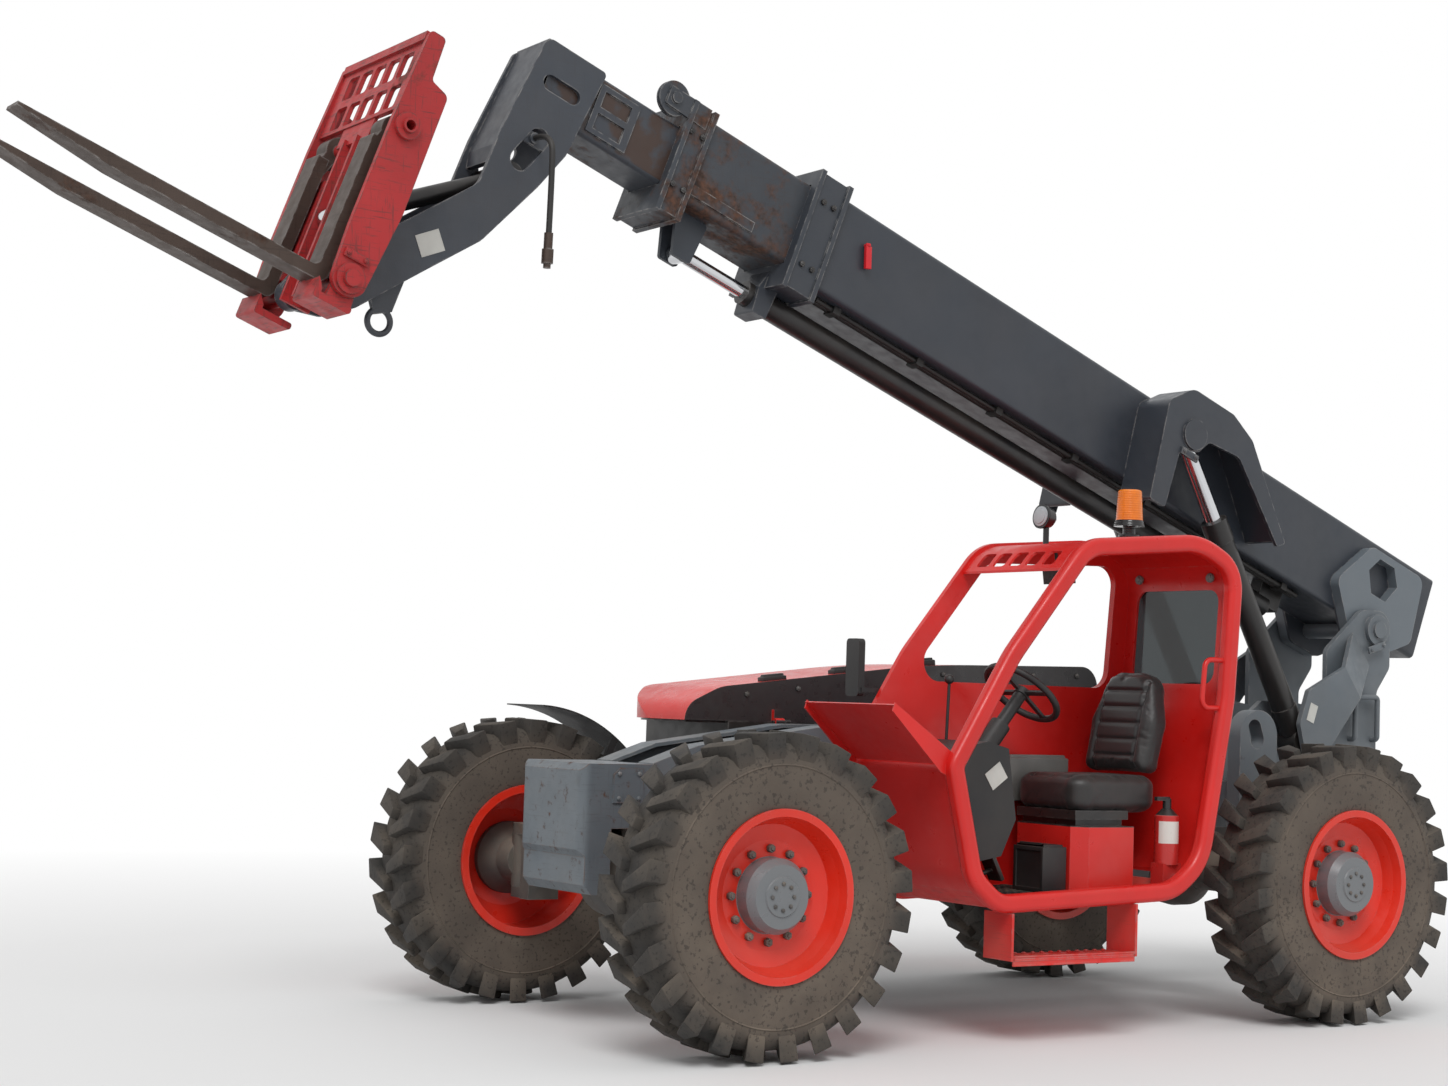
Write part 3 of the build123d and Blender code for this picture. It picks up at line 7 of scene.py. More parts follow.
# %% Load the frame
import json
import math
import bpy
from mathutils import Matrix, Vector


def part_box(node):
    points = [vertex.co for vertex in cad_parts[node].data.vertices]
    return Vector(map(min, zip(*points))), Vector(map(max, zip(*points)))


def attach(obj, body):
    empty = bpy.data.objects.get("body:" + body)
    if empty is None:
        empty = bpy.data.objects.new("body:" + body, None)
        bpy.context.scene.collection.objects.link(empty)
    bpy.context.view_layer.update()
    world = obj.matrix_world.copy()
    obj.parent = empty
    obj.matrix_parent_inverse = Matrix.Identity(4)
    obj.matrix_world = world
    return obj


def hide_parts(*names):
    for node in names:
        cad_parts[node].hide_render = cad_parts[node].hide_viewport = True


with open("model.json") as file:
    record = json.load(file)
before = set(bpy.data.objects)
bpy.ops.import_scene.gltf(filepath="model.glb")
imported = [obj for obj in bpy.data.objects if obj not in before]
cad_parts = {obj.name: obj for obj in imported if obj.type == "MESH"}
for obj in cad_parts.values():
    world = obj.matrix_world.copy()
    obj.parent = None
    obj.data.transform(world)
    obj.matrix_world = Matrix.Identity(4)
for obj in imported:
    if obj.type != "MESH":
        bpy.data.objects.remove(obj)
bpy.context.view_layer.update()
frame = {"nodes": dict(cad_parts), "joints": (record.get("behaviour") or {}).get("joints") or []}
NODES = frame["nodes"]
JOINTS = {joint["name"]: joint for joint in frame["joints"]}

# %% [markdown]
# Two places serve as rulers. The middle of the wheelbase lies between the wheel joints, and the boom
# has axes of its own, u along it and v square to it, from the pivot. Sizes that were read off the
# machine's side view can then be typed as they were measured. Each wheel's corner has 1 for left and
# -1 for right.

# %% Rulers
CORNERS = {"front_left": 1, "front_right": -1, "rear_left": 1, "rear_right": -1}
END_OF = {corner: corner.split("_")[0] for corner in CORNERS}
WHEEL_AT = {corner: Vector(JOINTS["spin_" + corner]["pos_m"]) for corner in CORNERS}
MID_X = (WHEEL_AT["front_left"].x + WHEEL_AT["rear_left"].x) / 2
PIVOT = Vector(JOINTS["boom_lift"]["pos_m"])
TILT_PIN = Vector(JOINTS["fork_tilt"]["pos_m"])
BOOM_DIR = Vector(JOINTS["boom_extend"]["axis"])
BOOM_ANGLE = math.atan2(BOOM_DIR.z, BOOM_DIR.x)


def at(x, y, z):
    """A point measured from the middle of the wheelbase."""
    return Vector((x + MID_X, y, z))


def on_boom(u, y, v, start=PIVOT):
    """A point in the boom's own axes."""
    return Vector((start.x + u * BOOM_DIR.x - v * BOOM_DIR.z, y, start.z + u * BOOM_DIR.z + v * BOOM_DIR.x))


wheelbase = WHEEL_AT["front_left"].x - WHEEL_AT["rear_left"].x
print("wheelbase", round(wheelbase, 3), "boom", round(math.degrees(BOOM_ANGLE), 1))

# %% [markdown]
# The camera stands ahead of the machine on its left, a little above wheel height, with a long lens.
# Its place and turn were found by fitting the wheels, the nose and the boom of the photograph at once.

# %% Camera
CAMERA_AT = at(7.3941, 9.2133, 1.4432)
CAMERA_YAW = math.radians(236.0935)
CAMERA_PITCH = math.radians(3.6691)
CAMERA_ROLL = math.radians(-1.8736)
LENS_MM = 60.84
SENSOR_MM = 36
flat_reach = math.cos(CAMERA_PITCH)
ahead = Vector((flat_reach * math.cos(CAMERA_YAW), flat_reach * math.sin(CAMERA_YAW), math.sin(CAMERA_PITCH)))
level = ahead.cross(Vector((0, 0, 1))).normalized()
under = ahead.cross(level)
right = level * math.cos(CAMERA_ROLL) + under * math.sin(CAMERA_ROLL)
down = under * math.cos(CAMERA_ROLL) - level * math.sin(CAMERA_ROLL)
camera_data = bpy.data.cameras.new("camera")
camera_data.lens = LENS_MM
camera_data.sensor_width = SENSOR_MM
camera = bpy.data.objects.new("camera", camera_data)
turn = Matrix((right, -down, -ahead)).transposed().to_4x4()
camera.matrix_world = Matrix.Translation(CAMERA_AT) @ turn
bpy.context.scene.collection.objects.link(camera)
bpy.context.scene.camera = camera
bpy.context.scene.view_settings.view_transform = "Standard"
print("camera", [round(c, 2) for c in camera.location])

# %% [markdown]
# Materials are node trees. One helper adds a node, sets its fields and either links or sets each of
# its inputs, so a material reads as a list of steps. A second helper opens a node group, which is an
# effect with named inputs that many materials share.

# %% Node helpers
def step(tree, kind, inputs=None, **fields):
    """Adds one node, with inputs given as numbers, colours or other nodes' outputs."""
    made = tree.nodes.new("ShaderNode" + kind)
    for field, setting in fields.items():
        setattr(made, field, setting)
    for key, given in (inputs or {}).items():
        if isinstance(given, bpy.types.NodeSocket):
            tree.links.new(given, made.inputs[key])
        else:
            made.inputs[key].default_value = given
    return made


def math_step(tree, operation, first, second=0.0, clamp=False):
    return step(tree, "Math", {0: first, 1: second}, operation=operation, use_clamp=clamp).outputs[0]


def span(tree, given, low, high, to_low=0.0, to_high=1.0):
    """Maps one stretch of values to another, and holds it at both ends."""
    return step(tree, "MapRange", {"Value": given, "From Min": low, "From Max": high, "To Min": to_low,
                                   "To Max": to_high}).outputs[0]


def blend_colour(tree, mask, first, second):
    return step(tree, "Mix", {0: mask, 6: first, 7: second}, data_type="RGBA").outputs[2]


def object_place(tree):
    return step(tree, "TexCoord").outputs["Object"]


def true_normal(tree):
    return step(tree, "NewGeometry").outputs["Normal"]


def part_of(tree, vector, axis):
    """The X, Y or Z of a vector."""
    return step(tree, "SeparateXYZ", {0: vector}).outputs[axis]


def noise(tree, scale, detail=4.0, roughness=0.5, stretch=None, turned=(0, 0, 0)):
    """Noise on Object coordinates, drawn out along an axis where stretch says so."""
    place = object_place(tree)
    if stretch:
        place = step(tree, "Mapping", {"Vector": place, "Rotation": turned, "Scale": stretch}).outputs[0]
    return step(tree, "TexNoise", {"Vector": place, "Scale": scale, "Detail": detail,
                                   "Roughness": roughness}).outputs[0]


def open_group(name, inputs, outputs):
    group = bpy.data.node_groups.new(name, "ShaderNodeTree")
    for label, start in inputs.items():
        socket = group.interface.new_socket(name=label, in_out="INPUT", socket_type="NodeSocketFloat")
        socket.default_value = start
    for label, kind in outputs.items():
        group.interface.new_socket(name=label, in_out="OUTPUT", socket_type="NodeSocket" + kind)
    return group, group.nodes.new("NodeGroupInput").outputs, group.nodes.new("NodeGroupOutput").inputs


def use_group(tree, group, inputs):
    made = tree.nodes.new("ShaderNodeGroup")
    made.node_tree = group
    for key, given in inputs.items():
        made.inputs[key].default_value = given
    return made.outputs


print("node helpers ready")

# %% [markdown]
# Dust settles on faces that look up and is thrown up from the ground, so its mask grows with the
# upward normal and falls with height, broken up by soft noise.

# %% Dust group
DUST, dust_in, dust_out = open_group("road_dust", {"Scale": 3.0, "Amount": 0.5}, {"Mask": "Float"})
settled = span(DUST, part_of(DUST, true_normal(DUST), "Z"), -0.3, 1.0, 0.25, 1.0)
thrown = span(DUST, part_of(DUST, object_place(DUST), "Z"), 0.1, 1.5, 1.0, 0.3)
clouds = span(DUST, noise(DUST, dust_in["Scale"], 7.0), 0.34, 0.68)
film = math_step(DUST, "MULTIPLY", math_step(DUST, "MULTIPLY", settled, thrown), clouds)
DUST.links.new(math_step(DUST, "MULTIPLY", film, dust_in["Amount"], clamp=True), dust_out["Mask"])
print("group", DUST.name)

# %% [markdown]
# Paint wears off first along edges. The Bevel node gives the normal that a rounded edge would have,
# and where that differs from the true normal an edge is near. Noise breaks the line into chips.

# %% Edge wear group
WEAR, wear_in, wear_out = open_group("edge_wear", {"Radius": 0.006, "Scale": 30.0, "Amount": 0.6},
                                     {"Mask": "Float"})
rounded = step(WEAR, "Bevel", {"Radius": wear_in["Radius"]}, samples=4).outputs[0]
agreed = step(WEAR, "VectorMath", {0: rounded, 1: true_normal(WEAR)}, operation="DOT_PRODUCT").outputs
edge = span(WEAR, math_step(WEAR, "SUBTRACT", 1.0, agreed["Value"]), 0.01, 0.14)
chips = span(WEAR, noise(WEAR, wear_in["Scale"], 5.0), 0.42, 0.6)
chipped = math_step(WEAR, "MULTIPLY", edge, chips)
WEAR.links.new(math_step(WEAR, "MULTIPLY", chipped, wear_in["Amount"], clamp=True), wear_out["Mask"])
print("group", WEAR.name)

# %% [markdown]
# Rust comes through in blooms. A coarse noise says where, with a threshold that moves with Amount, and
# a finer one drifts its colour between dark scale and orange powder.

# %% Rust group
DARK_SCALE = (0.030, 0.015, 0.010, 1)
RUST_POWDER = (0.095, 0.040, 0.022, 1)
RUST, rust_in, rust_out = open_group("rust_bloom", {"Scale": 4.0, "Amount": 0.4},
                                     {"Mask": "Float", "Color": "Color"})
bloom = noise(RUST, rust_in["Scale"], 9.0, 0.68)
threshold = math_step(RUST, "SUBTRACT", 0.78, math_step(RUST, "MULTIPLY", rust_in["Amount"], 0.42))
over = math_step(RUST, "MULTIPLY", math_step(RUST, "SUBTRACT", bloom, threshold), 9.0, clamp=True)
RUST.links.new(over, rust_out["Mask"])
powder = span(RUST, noise(RUST, 46.0, 6.0), 0.35, 0.65)
RUST.links.new(blend_colour(RUST, powder, DARK_SCALE, RUST_POWDER), rust_out["Color"])
print("group", RUST.name)

# %% [markdown]
# Scratches are noise drawn out along one axis and cut to thin lines. Two sets that cross at an angle
# look like years of loads dragged over a face.

# %% Scratch group
SCRATCH, scratch_in, scratch_out = open_group("scratch_lines", {"Scale": 9.0, "Amount": 0.5},
                                              {"Mask": "Float"})
sets = []
for turned, stretch in (((0.3, 0.2, 0.1), (1.0, 1.0, 14.0)), ((0.9, 0.1, 0.7), (12.0, 1.0, 1.0))):
    lines = noise(SCRATCH, scratch_in["Scale"], 6.0, 0.7, stretch, turned)
    sets.append(span(SCRATCH, lines, 0.56, 0.64))
crossed = math_step(SCRATCH, "MAXIMUM", sets[0], sets[1])
scored = math_step(SCRATCH, "MULTIPLY", crossed, scratch_in["Amount"], clamp=True)
SCRATCH.links.new(scored, scratch_out["Mask"])
print("group", SCRATCH.name)

# %% [markdown]
# Most of the machine is painted steel in some state of wear, so one function builds them all: a base
# colour that drifts a little, chips to bare metal at edges, scratches, rust, and dust on top. Its
# roughness and bump follow the same masks, so that worn spots also shine and stand differently.

# %% Painted steel
DUST_COLOUR = (0.36, 0.29, 0.22, 1)
BARE_STEEL = (0.30, 0.29, 0.28, 1)
SCRATCH_DARK = (0.03, 0.022, 0.02, 1)


def new_material(name):
    made = bpy.data.materials.new(name)
    made.use_nodes = True
    tree = made.node_tree
    return made, tree, tree.nodes["Principled BSDF"]


def shaded(colour, share):
    """A darker colour, still opaque."""
    return tuple(c * share for c in colour[:3]) + (1,)


def overlay(tree, base, second):
    """Lays a second colour over a base. It is a function that returns a mask and a colour, or None."""
    if second is None:
        return base
    mask, other = second(tree)
    return blend_colour(tree, mask, base, other)


def connect(tree, shader, base, rough, bump):
    for socket, given in (("Base Color", base), ("Roughness", rough), ("Normal", bump)):
        tree.links.new(given, shader.inputs[socket])


def painted(name, colour, roughness=0.42, wear=0.6, rust=0.0, scratch=0.0, dust=0.4, second=None,
            bare=BARE_STEEL, metallic=0.0, rust_scale=3.2):
    """Worn paint, with an overlay where a second colour is given."""
    made, tree, shader = new_material(name)
    drift = span(tree, noise(tree, 2.2), 0.3, 0.7)
    base = overlay(tree, blend_colour(tree, drift, shaded(colour, 0.8), colour), second)
    rough = span(tree, noise(tree, 18.0, 6.0), 0.3, 0.7, roughness - 0.07, roughness + 0.1)
    worn = use_group(tree, WEAR, {"Radius": 0.010, "Scale": 22.0, "Amount": wear})["Mask"]
    if scratch:
        drawn = use_group(tree, SCRATCH, {"Scale": 7.0, "Amount": scratch})["Mask"]
        base = blend_colour(tree, drawn, base, SCRATCH_DARK)
    if rust:
        blooms = use_group(tree, RUST, {"Scale": rust_scale, "Amount": rust})
        base = blend_colour(tree, blooms["Mask"], base, blooms["Color"])
        rough = math_step(tree, "ADD", rough, math_step(tree, "MULTIPLY", blooms["Mask"], 0.35), clamp=True)
    base = blend_colour(tree, worn, base, bare)
    film = use_group(tree, DUST, {"Scale": 3.4, "Amount": dust})["Mask"]
    base = blend_colour(tree, film, base, DUST_COLOUR)
    rough = math_step(tree, "ADD", rough, math_step(tree, "MULTIPLY", film, 0.4), clamp=True)
    peel = math_step(tree, "ADD", noise(tree, 160.0, 2.0), math_step(tree, "MULTIPLY", worn, -2.0))
    bump = step(tree, "Bump", {"Height": peel, "Strength": 0.12, "Distance": 0.002}).outputs[0]
    connect(tree, shader, base, rough, bump)
    shader.inputs["Metallic"].default_value = metallic
    return made


print("painted steel ready")

# %% [markdown]
# Some solids carry two finishes: the hood's inner side is dark, the hub in the rim is bare grey, the
# beacon's lens sits on a black foot. Masks on Object coordinates or on the normal split them.

# %% Two-finish masks
FRAME_GREY = (0.125, 0.148, 0.168, 1)
RUBBED_RUST = (0.040, 0.020, 0.014, 1)
PLATE_EDGE = (0.191, 0.192)
PLATE_REACH = (PIVOT.x + 0.45, PIVOT.x + 0.46)
RUBBED_EDGE = (0.134, 0.1345)


def by_normal(axis, low, high, colour):
    def mask(tree):
        return span(tree, part_of(tree, true_normal(tree), axis), low, high), colour
    return mask


def by_height(low, high, colour):
    def mask(tree):
        return span(tree, part_of(tree, object_place(tree), "Z"), low, high), colour
    return mask


def by_radius(centre, radius, colour, fade=0.004):
    """Mask for what lies within a radius of a wheel's axis."""
    def mask(tree):
        place = step(tree, "Mapping", {"Vector": object_place(tree), "Location": (-centre.x, 0, -centre.z),
                                       "Scale": (1, 0, 1)}).outputs[0]
        reach = step(tree, "VectorMath", {0: place}, operation="LENGTH").outputs["Value"]
        return span(tree, reach, radius, radius + fade, 1.0, 0.0), colour
    return mask


def off_middle(tree):
    """Distance from the machine's middle plane."""
    return math_step(tree, "ABSOLUTE", part_of(tree, object_place(tree), "Y"))


def pivot_plates(tree):
    """Grey of the boom's pivot plates, which stand proud of its sides near the rear."""
    proud = span(tree, off_middle(tree), *PLATE_EDGE)
    rear = span(tree, part_of(tree, object_place(tree), "X"), *PLATE_REACH, 1.0, 0.0)
    return math_step(tree, "MULTIPLY", proud, rear), FRAME_GREY


def rubbed_side(tree):
    """Rust where the inner section's flat side shows, inside and beside its raised wear-pad frame."""
    inner = span(tree, off_middle(tree), *RUBBED_EDGE, 1.0, 0.0)
    normal_y = math_step(tree, "ABSOLUTE", part_of(tree, true_normal(tree), "Y"))
    sideways = span(tree, normal_y, 0.9, 0.95)
    patches = span(tree, noise(tree, 7.0, 6.0), 0.42, 0.52)
    rubbed = math_step(tree, "MULTIPLY", inner, sideways)
    return math_step(tree, "MULTIPLY", rubbed, patches), RUBBED_RUST


print("masks ready")

# %% [markdown]
# The paints of the machine. The boom is dark blue-grey, with rust through the paint of its moving
# sections. Cab, hood and step are bright red, the carriage a duller, heavily scratched red.

# %% Paint colours
BLACK = (0.012, 0.012, 0.013, 1)
CAB_RED = (0.70, 0.013, 0.010, 1)
RIM_RED = (0.78, 0.026, 0.009, 1)
MID_GREY = (0.034, 0.041, 0.052, 1)
HOOD_INSIDE = (0.03, 0.028, 0.03, 1)
CHIP_BROWN = (0.13, 0.065, 0.036, 1)
CHIP_DARK = (0.05, 0.038, 0.034, 1)
SEAT_BOX_TOP = (0.925, 0.927)
finish = {
    "boom": painted("boom_paint", (0.030, 0.037, 0.049, 1), 0.4, wear=0.7, rust=0.12, dust=0.16,
                    second=pivot_plates),
    "mid": painted("worn_boom_paint", MID_GREY, 0.48, wear=0.9, rust=0.68, scratch=0.3, dust=0.2),
    "fly": painted("rubbed_boom_paint", (0.036, 0.042, 0.054, 1), 0.46, wear=0.9, rust=0.5, scratch=0.3,
                   dust=0.2, second=rubbed_side),
    "head": painted("head_paint", (0.040, 0.048, 0.062, 1), 0.44, wear=0.85, rust=0.26, scratch=0.15,
                    dust=0.28),
    "frame": painted("frame_grey", FRAME_GREY, 0.5, wear=0.75, rust=0.3, dust=0.55),
    "nose": painted("nose_grey", FRAME_GREY, 0.48, wear=1.0, rust=0.47, scratch=0.2, dust=0.2,
                    bare=CHIP_BROWN, rust_scale=17.0),
    "cab": painted("cab_red", CAB_RED, 0.34, wear=0.16, dust=0.06),
    "hood": painted("hood_red", CAB_RED, 0.3, wear=0.2, dust=0.22,
                    second=by_normal("Y", 0.8, 0.9, HOOD_INSIDE)),
    "carriage": painted("carriage_red", (0.42, 0.018, 0.020, 1), 0.5, wear=0.95, rust=0.42, scratch=0.55,
                        dust=0.12, bare=CHIP_DARK),
    "fork": painted("fork_steel", (0.075, 0.052, 0.042, 1), 0.48, wear=0.8, rust=0.45, scratch=0.4, dust=0.2,
                    metallic=0.5),
    "black": painted("black_paint", BLACK, 0.36, wear=0.35, dust=0.3),
    "cast": painted("cast_housing", (0.06, 0.06, 0.06, 1), 0.6, wear=0.4, rust=0.25, dust=1.0),
    "seat_box": painted("seat_box_red", CAB_RED, 0.32, wear=0.25, dust=0.2,
                        second=by_height(*SEAT_BOX_TOP, BLACK)),
    "floor": painted("cab_floor_red", CAB_RED, 0.4, wear=0.4, scratch=0.3, dust=0.6),
    "step": painted("step_red", CAB_RED, 0.36, wear=0.6, scratch=0.2, dust=0.5),
}
HUB_GREY = (0.16, 0.17, 0.18, 1)
HUB_RADIUS = 0.154
for end in ("front", "rear"):
    finish["rim_" + end] = painted("rim_paint_" + end, RIM_RED, 0.32, wear=0.2, dust=0.14,
                                   second=by_radius(WHEEL_AT[end + "_left"], HUB_RADIUS, HUB_GREY))
print("paints", len(finish))

# %% [markdown]
# Rubber, plastic and vinyl have no edge chips. They share a function with grain for bump and dust for
# colour. Tyres take more dust and dark flecks, and their walls are paler than their lugs.

# %% Rubber, plastic and vinyl
def moulded(name, colour, roughness, grain, grain_depth, dust, sheen=0.0, flecks=0.0, second=None):
    made, tree, shader = new_material(name)
    film = use_group(tree, DUST, {"Scale": 5.0, "Amount": dust})["Mask"]
    drift = span(tree, noise(tree, 6.0, 5.0), 0.3, 0.7)
    base = overlay(tree, blend_colour(tree, drift, shaded(colour, 0.75), colour), second)
    base = blend_colour(tree, film, base, DUST_COLOUR)
    if flecks:
        spots = math_step(tree, "MULTIPLY", span(tree, noise(tree, 58.0), 0.57, 0.64), flecks)
        base = blend_colour(tree, spots, base, shaded(colour, 0.3))
    mottled = span(tree, drift, 0, 1, roughness - 0.05, roughness + 0.08)
    rough = math_step(tree, "ADD", math_step(tree, "MULTIPLY", film, 0.3), mottled, clamp=True)
    pebbles = step(tree, "TexVoronoi", {"Vector": object_place(tree), "Scale": grain},
                   feature="SMOOTH_F1").outputs["Distance"]
    bump = step(tree, "Bump", {"Height": pebbles, "Strength": grain_depth, "Distance": 0.001}).outputs[0]
    connect(tree, shader, base, rough, bump)
    shader.inputs["Sheen Weight"].default_value = sheen
    return made


LUG_GREY = (0.038, 0.035, 0.032, 1)
WALL_BROWN = (0.088, 0.070, 0.056, 1)
WALL_RADIUS = 0.525
WALL_FADE = 0.08
for end in ("front", "rear"):
    wall = by_radius(WHEEL_AT[end + "_left"], WALL_RADIUS, WALL_BROWN, WALL_FADE)
    finish["tyre_" + end] = moulded("tyre_rubber_" + end, LUG_GREY, 0.82, 90.0, 0.4, dust=0.5, flecks=0.5,
                                    second=wall)
finish["plastic"] = moulded("black_plastic", (0.016, 0.016, 0.017, 1), 0.5, 700.0, 0.3, dust=0.15)
finish["vinyl"] = moulded("seat_vinyl", (0.014, 0.014, 0.015, 1), 0.42, 420.0, 0.35, dust=0.12, sheen=0.1)
finish["hose"] = moulded("hose_rubber", (0.015, 0.015, 0.015, 1), 0.55, 300.0, 0.2, dust=0.2)
finish["mat"] = moulded("floor_mat", (0.02, 0.02, 0.02, 1), 0.75, 180.0, 0.5, dust=0.7)
finish["red_grip"] = moulded("red_grip", (0.72, 0.012, 0.022, 1), 0.35, 500.0, 0.2, dust=0.05)
finish["blank_label"] = moulded("blank_label", (0.62, 0.62, 0.58, 1), 0.4, 300.0, 0.1, dust=0.35)
finish["grey_box"] = moulded("grey_plastic", (0.20, 0.20, 0.19, 1), 0.5, 500.0, 0.3, dust=0.3)
print("moulded finishes ready")

# %% [markdown]
# The rods are hard chrome: full metallic, low roughness, with faint lengthwise wiping marks. The rear
# pane is tinted glass, and lens and lamp glass are simple bright plastics.

# %% Chrome, glass and lenses
CHROME = (0.62, 0.63, 0.65, 1)
HANGER_SIDE = (0.0415, 0.0425)
LENS_FOOT = 0.145


def chrome(name, dark_side=None):
    """Hard chrome, with dark painted brackets beyond a distance from the middle plane."""
    made, tree, shader = new_material(name)
    shader.inputs["Base Color"].default_value = CHROME
    shader.inputs["Metallic"].default_value = 1.0
    rough = span(tree, noise(tree, 14.0, 6.0, stretch=(1, 1, 0.08)), 0.3, 0.75, 0.08, 0.26)
    if dark_side:
        mask = span(tree, off_middle(tree), *dark_side)
        tree.links.new(blend_colour(tree, mask, CHROME, MID_GREY), shader.inputs["Base Color"])
        tree.links.new(math_step(tree, "SUBTRACT", 1.0, mask), shader.inputs["Metallic"])
        rough = math_step(tree, "MAXIMUM", rough, math_step(tree, "MULTIPLY", mask, 0.5))
    tree.links.new(rough, shader.inputs["Roughness"])
    return made


def tinted_glass():
    made, tree, shader = new_material("tinted_glass")
    smear = noise(tree, 5.0, 6.0)
    shader.inputs["Base Color"].default_value = (0.035, 0.045, 0.048, 1)
    shader.inputs["Transmission Weight"].default_value = 0.8
    tree.links.new(span(tree, smear, 0.35, 0.75, 0.03, 0.16), shader.inputs["Roughness"])
    return made


def lens(name, colour, second=None, ribs=0.0):
    made, tree, shader = new_material(name)
    drift = span(tree, noise(tree, 30.0), 0.3, 0.7)
    base = overlay(tree, blend_colour(tree, drift, shaded(colour, 0.85), colour), second)
    tree.links.new(base, shader.inputs["Base Color"])
    tree.links.new(span(tree, noise(tree, 12.0), 0.3, 0.7, 0.16, 0.3), shader.inputs["Roughness"])
    if ribs:
        wave = step(tree, "TexWave", {"Vector": object_place(tree), "Scale": ribs},
                    bands_direction="Z").outputs[1]
        bump = step(tree, "Bump", {"Height": wave, "Strength": 0.4, "Distance": 0.002}).outputs[0]
        tree.links.new(bump, shader.inputs["Normal"])
    return made


lens_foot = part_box("beacon")[1].z - LENS_FOOT
finish["chrome"] = chrome("rod_chrome")
finish["rod_in_hanger"] = chrome("rod_in_hanger", HANGER_SIDE)
finish["glass"] = tinted_glass()
finish["amber"] = lens("amber_lens", (0.85, 0.22, 0.01, 1), ribs=28.0,
                       second=by_height(lens_foot, lens_foot - 0.001, BLACK))
finish["lamp"] = lens("lamp_shell", BLACK)
finish["white_lens"] = lens("lamp_glass", (0.42, 0.44, 0.46, 1))
print("lenses ready")

# %% [markdown]
# The extinguisher is a red bottle with a black valve. Its label place stays blank: a plain pale band
# on the side that faces the door.

# %% Extinguisher finish
bottle_low, bottle_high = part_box("fire_extinguisher")
LABEL_FOOT = bottle_low.z + 0.20
LABEL_TOP = bottle_low.z + 0.30
VALVE_FOOT = bottle_high.z - 0.085
SHARP = 0.002
PALE_BAND = (0.66, 0.64, 0.6, 1)


def bottle_parts(tree):
    level_z = part_of(tree, object_place(tree), "Z")
    above = span(tree, level_z, LABEL_FOOT, LABEL_FOOT + SHARP)
    below = span(tree, level_z, LABEL_TOP, LABEL_TOP + SHARP, 1.0, 0.0)
    doorward = span(tree, part_of(tree, true_normal(tree), "Y"), 0.1, 0.14)
    label = math_step(tree, "MULTIPLY", math_step(tree, "MULTIPLY", above, below), doorward)
    top = span(tree, level_z, VALVE_FOOT, VALVE_FOOT + SHARP)
    return math_step(tree, "MAXIMUM", label, top), blend_colour(tree, top, PALE_BAND, BLACK)


finish["bottle"] = painted("bottle_red", (0.55, 0.015, 0.015, 1), 0.28, wear=0.1, dust=0.2,
                           second=bottle_parts)
print("extinguisher finish ready")

# %% [markdown]
# Each solid now gets its finish. The table reads as the machine does, from the chassis to the forks.

# %% Dress the solids
DRESS = {
    "frame": ["main_frame", "boom_tower"],
    "nose": ["frame_nose"],
    "cast": ["counterweight", "front_axle", "rear_axle", "engine_block"],
    "black": ["engine_pod", "ext_barrel", "tilt_barrel", "lift_barrels"],
    "floor": ["cab_floor"],
    "seat_box": ["seat_base"],
    "hood": ["hood"],
    "cab": ["cab_left_frame", "cab_right_wall", "cab_rear_wall", "cab_roof", "cab_front_panel",
            "front_guard"],
    "step": ["boarding_step"],
    "glass": ["rear_glass"],
    "plastic": ["dash_console", "steering_wheel", "mirror_head", "front_fender"],
    "vinyl": ["seat_cushion", "seat_back"],
    "amber": ["beacon"],
    "lamp": ["work_lamp"],
    "bottle": ["fire_extinguisher"],
    "boom": ["boom_base"],
    "mid": ["boom_mid"],
    "fly": ["boom_fly"],
    "head": ["boom_head"],
    "hose": ["boom_lines", "aux_hose"],
    "chrome": ["tilt_rod", "lift_rods"],
    "rod_in_hanger": ["ext_rod"],
    "fork": ["forks", "aux_coupler"],
    "carriage": ["carriage"],
}
for corner in CORNERS:
    DRESS["cast"].append("knuckle_" + corner)
    for kind in ("rim_", "tyre_"):
        DRESS.setdefault(kind + END_OF[corner], []).append(kind + corner)


def dress(piece, material):
    piece.data.materials.clear()
    piece.data.materials.append(material)


for key, names in DRESS.items():
    for name in names:
        dress(NODES[name], finish[key])
print("dressed", sum(len(names) for names in DRESS.values()), "of", len(NODES))

# %% [markdown]
# Modelling starts from a primitive at its size and place, with everything else deselected, since an
# operator acts on all that is selected. Faces are then picked by the way they look, and a bevel
# modifier gives every piece the small rounding that catches light.

# %% Modelling helpers
def deselect():
    bpy.ops.object.select_all(action="DESELECT")


def select_only(piece):
    deselect()
    piece.select_set(True)
    bpy.context.view_layer.objects.active = piece


def edit_all(piece):
    """Opens a piece in edit mode with all of it selected."""
    select_only(piece)
    bpy.ops.object.mode_set(mode="EDIT")
    bpy.ops.mesh.select_all(action="SELECT")


def close_edit():
    bpy.ops.object.mode_set(mode="OBJECT")


def fix_normals(piece):
    edit_all(piece)
    bpy.ops.mesh.normals_make_consistent(inside=False)
    close_edit()


def settle(piece):
    """Moves place, turn and scale into the mesh."""
    bpy.ops.object.transform_apply(location=True, rotation=True, scale=True)
    return piece


def start_block(name, centre, size, turned=0.0):
    """A block, turned about Y where it lies along the boom."""
    deselect()
    bpy.ops.mesh.primitive_cube_add(size=1, location=centre, rotation=(0, turned, 0))
    piece = bpy.context.object
    piece.name = name
    piece.scale = size
    return settle(piece)


